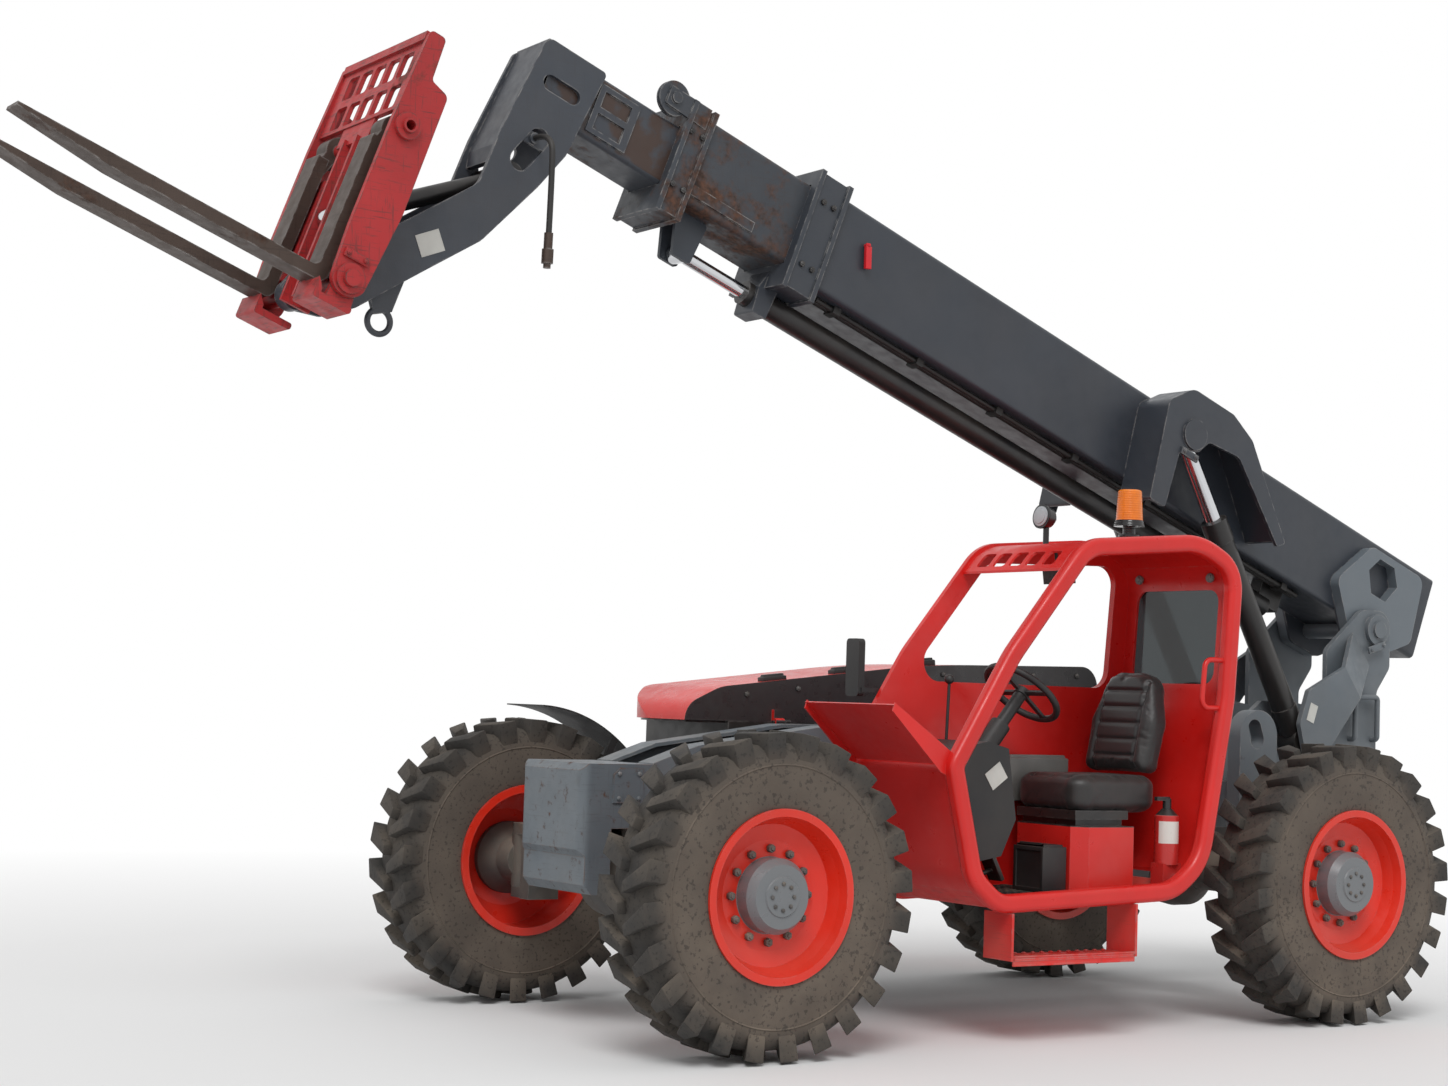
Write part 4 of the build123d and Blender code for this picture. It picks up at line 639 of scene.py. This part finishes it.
def start_round(name, centre, radius, depth, axis, sides=32):
    """A round bar whose length lies along an axis."""
    deselect()
    lean = Vector(axis).to_track_quat("Z", "Y").to_euler()
    bpy.ops.mesh.primitive_cylinder_add(vertices=sides, radius=radius, depth=depth, location=centre,
                                        rotation=lean)
    piece = bpy.context.object
    piece.name = name
    return settle(piece)


def pick_faces(piece, direction, least=0.9):
    """Selects, in edit mode, the faces that look along a direction."""
    bpy.ops.object.mode_set(mode="EDIT")
    bpy.ops.mesh.select_mode(type="FACE")
    bpy.ops.mesh.select_all(action="DESELECT")
    bpy.ops.object.mode_set(mode="OBJECT")
    for face in piece.data.polygons:
        face.select = face.normal.dot(Vector(direction)) > least
    bpy.ops.object.mode_set(mode="EDIT")


def raise_faces(piece, direction, inset, rise):
    """Insets the faces that look one way and extrudes them along it."""
    pick_faces(piece, direction)
    bpy.ops.mesh.inset(thickness=inset)
    bpy.ops.mesh.extrude_region_move(TRANSFORM_OT_translate={"value": Vector(direction).normalized() * rise})
    close_edit()


def soften(piece, width, segments=2):
    select_only(piece)
    bevel = piece.modifiers.new("soft_edges", "BEVEL")
    bevel.width = width
    bevel.segments = segments
    bevel.limit_method = "ANGLE"
    bpy.ops.object.modifier_apply(modifier=bevel.name)
    bpy.ops.object.shade_smooth_by_angle(angle=math.radians(38))
    return piece


def copy_of(piece, name, move):
    """A copy with a mesh of its own, moved by a matrix in its mesh."""
    twin = piece.copy()
    twin.data = piece.data.copy()
    twin.name = name
    twin.data.transform(move)
    bpy.context.scene.collection.objects.link(twin)
    return twin


def join(pieces, name):
    deselect()
    for piece in pieces:
        piece.select_set(True)
    bpy.context.view_layer.objects.active = pieces[0]
    bpy.ops.object.join()
    pieces[0].name = name
    pieces[0].data.name = name
    return pieces[0]


def keep(piece, body, key):
    """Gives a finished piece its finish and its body."""
    dress(piece, finish[key])
    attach(piece, body)
    print("piece", piece.name, "on", body, "faces", len(piece.data.polygons))


print("modelling helpers ready")

# %% [markdown]
# A tyre is a carcass with rubber lugs moulded on. The carcass is a profile spun about the axle, which
# gives smooth walls. The profile follows the solid: bead, bulged wall, shoulder and nearly flat crown,
# with a thin rib round the wall.

# %% Tyre carcass
tyre_low, tyre_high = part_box("tyre_front_left")
TYRE_RADIUS = (tyre_high.z - tyre_low.z) / 2
TYRE_HALF = (tyre_high.y - tyre_low.y) / 2
CROWN = TYRE_RADIUS - 0.042
HALF_PROFILE = [
    (0.3325, 0.146), (0.342, 0.158), (0.372, 0.165), (0.4125, TYRE_HALF - 0.009), (0.4525, TYRE_HALF - 0.008),
    (0.505, TYRE_HALF - 0.0085), (0.522, TYRE_HALF - 0.0095), (0.527, TYRE_HALF - 0.0055),
    (0.532, TYRE_HALF - 0.0100), (0.556, TYRE_HALF - 0.012), (0.592, TYRE_HALF - 0.028),
    (0.612, TYRE_HALF - 0.052), (CROWN, 0.06)]
profile = HALF_PROFILE + [(radius, -y) for radius, y in reversed(HALF_PROFILE)]
deselect()
bpy.ops.mesh.primitive_circle_add(vertices=len(profile), radius=1)
carcass = bpy.context.object
for vertex, (radius, y) in zip(carcass.data.vertices, profile):
    vertex.co = (radius, y, 0)
edit_all(carcass)
bpy.ops.mesh.spin(steps=96, angle=math.tau, center=(0, 0, 0), axis=(0, 1, 0))
bpy.ops.mesh.select_all(action="SELECT")
bpy.ops.mesh.remove_doubles(threshold=0.0001)
bpy.ops.mesh.normals_make_consistent(inside=False)
close_edit()
print("carcass faces", len(carcass.data.polygons))

# %% [markdown]
# A lug starts as a cube. Its corners are moved so that it slants from the crown to the shoulder, as on
# the solid, and grows wider down the wall. Its edges are bevelled. It is then copied round the tyre,
# half a pitch later on the other side.

# %% Tyre lugs
LUGS = 24
PITCH = 360 / LUGS


def round_point(share, radius, y):
    turned = math.radians(PITCH * share)
    return Vector((radius * math.cos(turned), y, radius * math.sin(turned)))


LUG_ROOT = CROWN - 0.02
LUG_SHOULDER = TYRE_RADIUS - 0.006
LUG_FOOT = TYRE_RADIUS - 0.118
FOOT_HALF = TYRE_HALF - 0.012
LUG_BEVEL = 0.006
MIRRORED = Matrix.Scale(-1, 4, (0, 1, 0))
LUG_CORNERS = {
    (-1, -1, 1): (0.09, TYRE_RADIUS, 0.014), (1, -1, 1): (0.36, TYRE_RADIUS, 0.014),
    (-1, 1, 1): (0.42, LUG_SHOULDER, TYRE_HALF), (1, 1, 1): (0.95, LUG_SHOULDER, TYRE_HALF),
    (-1, -1, -1): (0.05, LUG_ROOT, 0.010), (1, -1, -1): (0.40, LUG_ROOT, 0.010),
    (-1, 1, -1): (0.40, LUG_FOOT, FOOT_HALF), (1, 1, -1): (0.99, LUG_FOOT, FOOT_HALF),
}
deselect()
bpy.ops.mesh.primitive_cube_add(size=2)
lug = bpy.context.object
for vertex in lug.data.vertices:
    corner_key = tuple(1 if c > 0 else -1 for c in vertex.co)
    vertex.co = round_point(*LUG_CORNERS[corner_key])
edit_all(lug)
bpy.ops.mesh.normals_make_consistent(inside=False)
bpy.ops.mesh.bevel(offset=LUG_BEVEL, segments=2, affect="EDGES")
close_edit()
lugs = []
for k in range(LUGS):
    spin_left = Matrix.Rotation(-math.radians(PITCH * k), 4, "Y")
    spin_right = Matrix.Rotation(-math.radians(PITCH * (k + 0.5)), 4, "Y")
    lugs.append(copy_of(lug, "lug", spin_left))
    lugs.append(copy_of(lug, "lug", spin_right @ MIRRORED))
bpy.data.objects.remove(lug)
print("lugs", len(lugs))

# %% [markdown]
# The lugs on the mirrored side are inside out, so normals are made consistent before the tyre is
# smoothed. One tyre then serves for all four corners, mirrored on the right.

# %% Four tyres
tyre = join([carcass] + lugs, "tyre_master")
fix_normals(tyre)
bpy.ops.object.shade_smooth_by_angle(angle=math.radians(32))
for corner, side in CORNERS.items():
    place = Matrix.Translation(WHEEL_AT[corner])
    if side < 0:
        place = place @ MIRRORED
    worn_tyre = copy_of(tyre, "lugged_tyre_" + corner, place)
    fix_normals(worn_tyre)
    keep(worn_tyre, "wheel_" + corner, "tyre_" + END_OF[corner])
    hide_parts("tyre_" + corner)
bpy.data.objects.remove(tyre)

# %% [markdown]
# Nuts hold each disc to its hub, and smaller bolts close the planetary cap. A nut is a six-sided
# prism whose outer face is inset and drawn out into the stud's end.

# %% Wheel nuts
NUT_RING = 0.188
NUT_COUNT = 12
NUT_FACE = 0.068
NUT_SIZE = (0.036, 0.022)
CAP_RING = 0.053
CAP_COUNT = 8
CAP_FACE = 0.174
CAP_SIZE = (0.018, 0.006)


def hex_head(name, centre, axis, across, height):
    """A bolt or nut: hexagon, washer face drawn out, and softened edges."""
    axis = Vector(axis).normalized()
    head = start_round(name, Vector(centre) + axis * height / 2, across / 2, height, axis, sides=6)
    raise_faces(head, axis, across * 0.2, height * 0.35)
    return soften(head, across * 0.05, 1)


def hex_heads(name, centres, axis, across, height):
    first = hex_head(name, centres[0], axis, across, height)
    rest = [copy_of(first, name, Matrix.Translation(Vector(c) - Vector(centres[0]))) for c in centres[1:]]
    return join([first] + rest, name)


def ring_of(centre, radius, count, y):
    angles = [k * math.tau / count for k in range(count)]
    return [centre + Vector((radius * math.cos(angle), y, radius * math.sin(angle))) for angle in angles]


for corner, side in CORNERS.items():
    nut_spots = ring_of(WHEEL_AT[corner], NUT_RING, NUT_COUNT, side * NUT_FACE)
    nuts = hex_heads("nuts", nut_spots, (0, side, 0), *NUT_SIZE)
    cap_spots = ring_of(WHEEL_AT[corner], CAP_RING, CAP_COUNT, side * CAP_FACE)
    cap = hex_heads("cap", cap_spots, (0, side, 0), *CAP_SIZE)
    keep(join([nuts, cap], "wheel_nuts_" + corner), "wheel_" + corner, "cast")

# %% [markdown]
# The seat is foam under vinyl. Its cushion starts as a copy of the solid, is remeshed to an even skin,
# and is blown up as cloth with a little pressure, so that it crowns. The sewn channels are pressed in
# afterwards, because a remesh would wipe them out.

# %% Seat upholstery
PAD_SHARE = 0.965
PAD_VOXEL = 0.008
SWELL_CAP = 0.014
PRESSURE = 4.0
SEAM_DEPTH = 0.011
SEAM_WIDTH = 0.009


def merged_copy(node, name):
    pad = NODES[node].copy()
    pad.data = NODES[node].data.copy()
    pad.parent = None
    pad.name = name
    for tag in list(pad.keys()):
        del pad[tag]
    bpy.context.scene.collection.objects.link(pad)
    edit_all(pad)
    bpy.ops.mesh.remove_doubles(threshold=0.0002)
    close_edit()
    return pad


def blow_up(pad, voxel, cap):
    """Swells a pad as cloth, and holds each point within a cap of where it started."""
    remesh = pad.modifiers.new("even_skin", "REMESH")
    remesh.mode = "VOXEL"
    remesh.voxel_size = voxel
    bpy.ops.object.modifier_apply(modifier=remesh.name)
    start = [v.co.copy() for v in pad.data.vertices]
    cloth = pad.modifiers.new("skin", "CLOTH")
    cloth.settings.use_pressure = True
    cloth.settings.uniform_pressure_force = PRESSURE
    cloth.settings.effector_weights.gravity = 0.0
    for moment in range(1, 21):
        bpy.context.scene.frame_set(moment)
    bpy.ops.object.modifier_apply(modifier=cloth.name)
    bpy.context.scene.frame_set(1)
    for vertex, home in zip(pad.data.vertices, start):
        moved = vertex.co - home
        if moved.length > cap:
            vertex.co = home + moved.normalized() * cap


def sew(pad, face, seams):
    """Presses straight seams into one face. Each lies at a place on an axis, between limits of another."""
    for vertex in pad.data.vertices:
        if vertex.normal.dot(face) > 0.35:
            for axis, place, other, low, high in seams:
                if low < vertex.co[other] < high:
                    near = math.exp(-((vertex.co[axis] - place) / SEAM_WIDTH) ** 2)
                    vertex.co -= face * SEAM_DEPTH * near


def upholster(node, name, face, seams):
    low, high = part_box(node)
    pad = merged_copy(node, name)
    middle = (low + high) / 2
    pad.data.transform(Matrix.Translation(middle) @ Matrix.Scale(PAD_SHARE, 4) @ Matrix.Translation(-middle))
    blow_up(pad, PAD_VOXEL, SWELL_CAP)
    sew(pad, face, seams)
    smooth = pad.modifiers.new("smooth", "SUBSURF")
    smooth.levels = 1
    smooth.render_levels = 1
    bpy.ops.object.modifier_apply(modifier=smooth.name)
    bpy.ops.object.shade_smooth()
    keep(pad, "chassis", "vinyl")
    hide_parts(node)


cushion_low, cushion_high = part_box("seat_cushion")
back_low, back_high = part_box("seat_back")
SEAT_MIDDLE = (cushion_low.y + cushion_high.y) / 2
PANEL_HALF = 0.135
panel = (SEAT_MIDDLE - PANEL_HALF, SEAT_MIDDLE + PANEL_HALF)
cushion_seams = [(1, y, 0, cushion_low.x + 0.04, cushion_high.x - 0.05) for y in panel]
cushion_seams += [(0, cushion_low.x + 0.15 + 0.085 * k, 1, panel[0], panel[1]) for k in range(5)]
upholster("seat_cushion", "cushion_cover", Vector((0, 0, 1)), cushion_seams)
back_seams = [(1, y, 2, back_low.z + 0.04, back_high.z - 0.06) for y in panel]
back_seams += [(2, back_low.z + 0.10 + 0.075 * k, 1, panel[0], panel[1]) for k in range(6)]
upholster("seat_back", "back_cover", Vector((0.97, 0, 0.24)), back_seams)

# %% [markdown]
# A loose auxiliary hose leaves a port in the gooseneck sideways and hangs beside it, with a coupler on
# its end. It is a real length of rubber, so it is one smooth curve over the points of its solid's route.

# %% Auxiliary hose
HOSE_RADIUS = 0.013
PORT = (5.503, -0.060)
PORT_FACE = 0.1666
HANG_Y = 0.312
HANG = 0.430


def below_port(drop, y):
    """A point straight below the hose's port."""
    return on_boom(PORT[0], y, PORT[1]) - Vector((0, 0, drop))


ROUTE = [below_port(0, PORT_FACE), below_port(0, HANG_Y), below_port(0.170, HANG_Y + 0.010),
         below_port(HANG, HANG_Y)]
curve = bpy.data.curves.new("aux_hose_line", "CURVE")
curve.dimensions = "3D"
curve.resolution_u = 16
spline = curve.splines.new("NURBS")
spline.points.add(len(ROUTE) - 1)
for point, place in zip(spline.points, ROUTE):
    point.co = (place.x, place.y, place.z, 1)
spline.order_u = 3
spline.use_endpoint_u = True
aux_line = bpy.data.objects.new("aux_line", curve)
bpy.context.scene.collection.objects.link(aux_line)
traced = bpy.data.meshes.new_from_object(aux_line)
curve.bevel_depth = HOSE_RADIUS
curve.bevel_resolution = 5
curve.use_fill_caps = True
dress(aux_line, finish["hose"])
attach(aux_line, "boom_fly")
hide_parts("aux_hose")

# %% [markdown]
# Collars of the boom carry the bolts of their wear pads, in short rows on top and sides. They ride on
# the section they hold.

# %% Wear pad bolts
BASE_FRONT = 4.140
MID_FRONT = BASE_FRONT + 0.720
UP_BOOM = Vector((-BOOM_DIR.z, 0, BOOM_DIR.x))
ROW_GAP = (-0.03, 0.03)
PAD_BOLT = (0.030, 0.012)
BOLT_INSET = 0.13


def pad_bolts(name, body, u, half, low, high):
    """Bolt rows on the top and both sides of a collar's band."""
    rows = []
    tops = [on_boom(u + du, y, high) for du in ROW_GAP for y in (-0.11, -0.04, 0.04, 0.11)]
    rows.append(hex_heads(name, tops, UP_BOOM, *PAD_BOLT))
    for side in (1, -1):
        levels = (low + BOLT_INSET, high - BOLT_INSET)
        sides = [on_boom(u + du, side * half, v) for du in ROW_GAP for v in levels]
        rows.append(hex_heads(name, sides, (0, side, 0), *PAD_BOLT))
    keep(join(rows, name), body, "black")


pad_bolts("base_pad_bolts", "boom_base", BASE_FRONT - 0.095, 0.208, -0.050, 0.530)
pad_bolts("mid_pad_bolts", "boom_mid", MID_FRONT - 0.070, 0.173, -0.037, 0.490)

# %% [markdown]
# Pins are held by keepers: a small plate bolted beside the pin's head. The same keeper serves at the
# boom pivot, the lift eyes and the carriage pins. It is a block with its face inset and raised.

# %% Pin keepers
KEEPER_THICK = 0.012
KEEPER_HEIGHT = 0.036
KEEPER_BOLT = (0.022, 0.010)
EAR_FACE = 0.412


def keeper(name, centre, side, length, lean):
    """A keeper plate with two bolts, on a face that looks to one side."""
    centre = Vector(centre)
    outward = Vector((0, side * KEEPER_THICK, 0))
    strap = start_block(name, centre + outward / 2, (length, KEEPER_THICK, KEEPER_HEIGHT), lean)
    raise_faces(strap, (0, side, 0), 0.004, 0.002)
    soften(strap, 0.003)
    reach = Vector((math.cos(lean), 0, -math.sin(lean))) * length * 0.36
    bolts = hex_heads(name, [centre + reach + outward, centre - reach + outward], (0, side, 0), *KEEPER_BOLT)
    return join([strap, bolts], name)


for side, word in ((1, "left"), (-1, "right")):
    pivot_spot = PIVOT + Vector((0.02, side * 0.316, -0.095))
    keep(keeper("pivot_keeper_" + word, pivot_spot, side, 0.13, 0.3), "chassis", "frame")
    eye_spot = on_boom(1.713, side * EAR_FACE, 0.22)
    keep(keeper("eye_keeper_" + word, eye_spot, side, 0.12, -BOOM_ANGLE), "boom_base", "boom")
    tilt_spot = on_boom(0.01, side * EAR_FACE, 0.09, TILT_PIN)
    tilt_keeper = keeper("tilt_keeper_" + word, tilt_spot, side, 0.11, -BOOM_ANGLE)
    keep(tilt_keeper, "carriage", "carriage")

# %% [markdown]
# The hood is held by black latches along its top inner edge, with a row of bolts in the dark panel
# below them. A latch is a block, inset and drawn up, with softened edges.

# %% Hood latches
HOOD_INNER_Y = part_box("hood")[1].y
HOOD_FRONT = (0.9, 1.507)
HOOD_KNEE = (-0.35, 1.655)
REAR_SLOPE = 0.0235
LATCH_X = (0.57, 0.15, -0.35)
LATCH_LEAN = 0.11
PANEL_Y = -0.436
PANEL_X = (0.75, 0.45, 0.15, -0.15, -0.45, -0.75, -1.05, -1.35)


def hood_top(x):
    """Height of the hood's top line, which rises to the rear."""
    if x > HOOD_KNEE[0]:
        slope = (HOOD_KNEE[1] - HOOD_FRONT[1]) / (HOOD_FRONT[0] - HOOD_KNEE[0])
        return HOOD_FRONT[1] + (HOOD_FRONT[0] - x) * slope
    return HOOD_KNEE[1] + (HOOD_KNEE[0] - x) * REAR_SLOPE


latches = []
for x in LATCH_X:
    latch_spot = at(x, HOOD_INNER_Y - 0.09, hood_top(x) + 0.004)
    latch = start_block("latch", latch_spot, (0.14, 0.05, 0.03), LATCH_LEAN)
    raise_faces(latch, (-LATCH_LEAN, 0, 0.99), 0.010, 0.012)
    latches.append(soften(latch, 0.006))
keep(join(latches, "hood_latches"), "hood", "plastic")
panel_spots = [at(x, PANEL_Y, hood_top(x) - 0.05) for x in PANEL_X]
panel_bolts = hex_heads("hood_panel_bolts", panel_spots, (0, 1, 0), 0.026, 0.010)
keep(panel_bolts, "hood", "cast")

# %% [markdown]
# The nose has a cover held by four bolts on its side.

# %% Nose bolts
cover_spots = [at(x, 0.274, z) for x in (1.785, 1.885) for z in (1.010, 1.115)]
cover_bolts = hex_heads("cover_bolts", cover_spots, (0, 1, 0), 0.020, 0.008)
keep(cover_bolts, "chassis", "frame")

# %% [markdown]
# Inside the cab: a ribbed floor mat, two pedals, a joystick box beside the seat, a small inside
# mirror and two dome lights on the rear wall. Ribs come from inset faces drawn up a little.

# %% Cab fittings
mat = start_block("floor_mat", at(0.14, 0.78, 0.622), (0.42, 0.52, 0.010), 0.038)
edit_all(mat)
bpy.ops.mesh.subdivide(number_cuts=9)
close_edit()
pick_faces(mat, (0, 0, 1))
bpy.ops.mesh.inset(thickness=0.008, use_individual=True)
bpy.ops.mesh.extrude_region_move(TRANSFORM_OT_translate={"value": (0, 0, 0.004)})
close_edit()
keep(mat, "chassis", "mat")

ARM_AXIS = (1, 0, -0.25)
pedals = []
for y in (0.66, 0.86):
    pedal = start_block("pedal", at(0.30, y, 0.75), (0.02, 0.09, 0.14), 0.5)
    raise_faces(pedal, (-0.87, 0, 0.5), 0.008, 0.006)
    soften(pedal, 0.005)
    arm = start_round("pedal_arm", at(0.345, y, 0.72), 0.011, 0.12, ARM_AXIS, 16)
    raise_faces(arm, ARM_AXIS, 0.002, 0.004)
    pedals += [pedal, soften(arm, 0.002)]
keep(join(pedals, "pedals"), "chassis", "black")

side_box = start_block("control_box", at(-0.27, 0.49, 1.12), (0.36, 0.06, 0.20))
raise_faces(side_box, (0, 0, 1), 0.012, 0.015)
soften(side_box, 0.012, 3)
keep(side_box, "chassis", "grey_box")

glass_low, glass_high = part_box("rear_glass")
DOME_AXIS = (1, 0, 0.07)
DOME_INSET = 0.06
domes = []
for y in (glass_low.y + DOME_INSET, glass_high.y - DOME_INSET):
    dome = start_round("dome", at(-0.845, y, 2.085), 0.022, 0.016, DOME_AXIS)
    raise_faces(dome, DOME_AXIS, 0.007, 0.008)
    domes.append(soften(dome, 0.003, 3))
keep(join(domes, "dome_lights"), "chassis", "grey_box")

STEM_AXIS = (0.2, 0, 1)
glance = start_block("inside_mirror", at(-0.11, 0.80, 2.06), (0.018, 0.20, 0.075), 0.15)
raise_faces(glance, (-1, 0, 0), 0.006, -0.003)
soften(glance, 0.008, 3)
stem = start_round("mirror_stem", at(-0.095, 0.80, 2.13), 0.008, 0.10, STEM_AXIS, 16)
raise_faces(stem, STEM_AXIS, 0.002, 0.004)
soften(stem, 0.002)
keep(join([glance, stem], "inside_mirror"), "chassis", "plastic")

# %% [markdown]
# A black box stands on the floor beside the seat pedestal. The lamp's glass sits in its black shell,
# inside a rim, so it is a disc of its own with a raised middle.

# %% Floor box and lamp glass
floor_box = start_block("floor_box", at(0.0, 0.84, 0.735), (0.14, 0.20, 0.20))
raise_faces(floor_box, (0, 0, 1), 0.012, 0.010)
raise_faces(floor_box, (1, 0, 0), 0.018, -0.006)
soften(floor_box, 0.008, 3)
keep(floor_box, "chassis", "plastic")

LAMP_LEAN = math.radians(6)
LAMP_FACING = Vector((math.cos(LAMP_LEAN), 0, math.sin(LAMP_LEAN)))
lamp_glass = start_round("lamp_glass", at(-0.1495, 0.62, 2.3437), 0.047, 0.008, LAMP_FACING, 48)
raise_faces(lamp_glass, LAMP_FACING, 0.012, 0.005)
soften(lamp_glass, 0.002)
keep(lamp_glass, "chassis", "white_lens")

# %% [markdown]
# The boarding step's tread has a lip along its outer edge and rows of raised studs that keep a boot
# from slipping. One stud is modelled and copied along the tread, clear of the slots in it.

# %% Step tread
step_low, step_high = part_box("boarding_step")
TREAD_TOP = 0.382
STUD_PITCH = 0.052
step_length = step_high.x - step_low.x
lip_spot = ((step_low.x + step_high.x) / 2, step_high.y - 0.005, TREAD_TOP - 0.012)
lip = start_block("step_lip", lip_spot, (step_length - 0.026, 0.010, 0.044))
raise_faces(lip, (0, 1, 0), 0.006, -0.002)
soften(lip, 0.003)
stud_xs = [step_low.x + 0.045 + STUD_PITCH * k for k in range(int((step_length - 0.07) / STUD_PITCH))]
stud_ys = (step_high.y - 0.022, step_low.y + 0.016)
stud_spots = [Vector((x, y, TREAD_TOP)) for y in stud_ys for x in stud_xs]
studs = hex_heads("step_studs", stud_spots, (0, 0, 1), 0.022, 0.005)
keep(join([lip, studs], "step_tread"), "chassis", "step")

# %% [markdown]
# A pointer hangs on a pin at the boom's side, to show the operator the boom's angle: a red grip that
# narrows at its neck. It is fixed here and rides with the boom. Label places stay as bare plates.

# %% Angle pointer and bare plates
POINTER_TOP = at(0.591, 0.190, 3.573)
grip = start_block("angle_pointer", POINTER_TOP + Vector((0, 0.022, -0.058)), (0.032, 0.020, 0.105))
raise_faces(grip, (0, 0, 1), 0.005, 0.016)
soften(grip, 0.006, 3)
hanger = start_round("pointer_pin", POINTER_TOP + Vector((0, 0.016, 0)), 0.009, 0.034, (0, 1, 0), 20)
raise_faces(hanger, (0, 1, 0), 0.003, 0.004)
soften(hanger, 0.002)
keep(join([grip, hanger], "angle_pointer"), "boom_base", "red_grip")


def bare_plate(name, body, centre, width, height, lean=0.0):
    """A thin blank plate on a face that looks left, with a raised border."""
    sheet = start_block(name, centre, (width, 0.003, height), lean)
    raise_faces(sheet, (0, 1, 0), 0.004, -0.0008)
    soften(sheet, 0.001, 1)
    keep(sheet, body, "blank_label")


GOOSENECK = TILT_PIN - on_boom(5.552, 0, -0.576)
NECK_LEAN = -math.atan2(GOOSENECK.z, GOOSENECK.x)
bare_plate("head_plate", "boom_fly", at(2.824, 0.1535, 3.297), 0.115, 0.095, NECK_LEAN)
bare_plate("tower_plate", "chassis", at(-2.195, 0.4312, 1.475), 0.055, 0.095, -0.35)
bare_plate("dash_plate", "chassis", at(0.37, 0.9612, 1.150), 0.10, 0.085, 0.6)

# %% [markdown]
# The floor is pale and plain. Near the machine it takes its shadow, and far off it turns to the same
# white as the backdrop, for the camera only, so that it sends no extra light up at the machine.

# %% Floor
FLOOR_FADE = (4.5, 11.0)
WHITE = (1, 1, 1, 1)


def seen_rays(tree):
    """1 for rays from the camera, a mirror or a pane."""
    rays = step(tree, "LightPath").outputs
    mirrored = math_step(tree, "MAXIMUM", rays["Is Glossy Ray"], rays["Is Transmission Ray"])
    return math_step(tree, "MAXIMUM", rays["Is Camera Ray"], mirrored)


deselect()
bpy.ops.mesh.primitive_plane_add(size=120)
floor = bpy.context.object
floor.name = "floor"
floor_finish, tree, shader = new_material("pale_floor")
shader.inputs["Base Color"].default_value = (0.82, 0.82, 0.82, 1)
shader.inputs["Roughness"].default_value = 0.9
shader.inputs["Specular IOR Level"].default_value = 0.1
reach = step(tree, "VectorMath", {0: object_place(tree)}, operation="LENGTH").outputs["Value"]
far_off = math_step(tree, "MULTIPLY", span(tree, reach, *FLOOR_FADE), seen_rays(tree))
white = step(tree, "Emission", {"Color": WHITE, "Strength": 1.0}).outputs[0]
mixed = step(tree, "MixShader", {0: far_off, 1: shader.outputs[0], 2: white}).outputs[0]
tree.links.new(mixed, tree.nodes["Material Output"].inputs["Surface"])
dress(floor, floor_finish)
print("floor", floor.name)

# %% [markdown]
# The light is a soft studio: an even sky all round and one broad key from the front left, above. The
# sky is white where the camera, a mirror or a pane sees it, and dimmer as a lamp.

# %% Light
SKY_STRENGTH = 0.62
KEY_STRENGTH = 1.5
KEY_FROM = Vector((0.45, 0.6, 0.85))
world = bpy.data.worlds.new("studio")
bpy.context.scene.world = world
world.use_nodes = True
sky = world.node_tree
strength = span(sky, seen_rays(sky), 0, 1, SKY_STRENGTH, 1.0)
sky.links.new(strength, sky.nodes["Background"].inputs["Strength"])
sky.nodes["Background"].inputs["Color"].default_value = WHITE
key_data = bpy.data.lights.new("key", "SUN")
key_data.energy = KEY_STRENGTH
key_data.angle = math.radians(25)
key = bpy.data.objects.new("key", key_data)
key.rotation_euler = KEY_FROM.to_track_quat("Z", "Y").to_euler()
bpy.context.scene.collection.objects.link(key)
print("light ready")

# %% [markdown]
# The last step prints a closing line.

# %% Finish
print("dressing done")
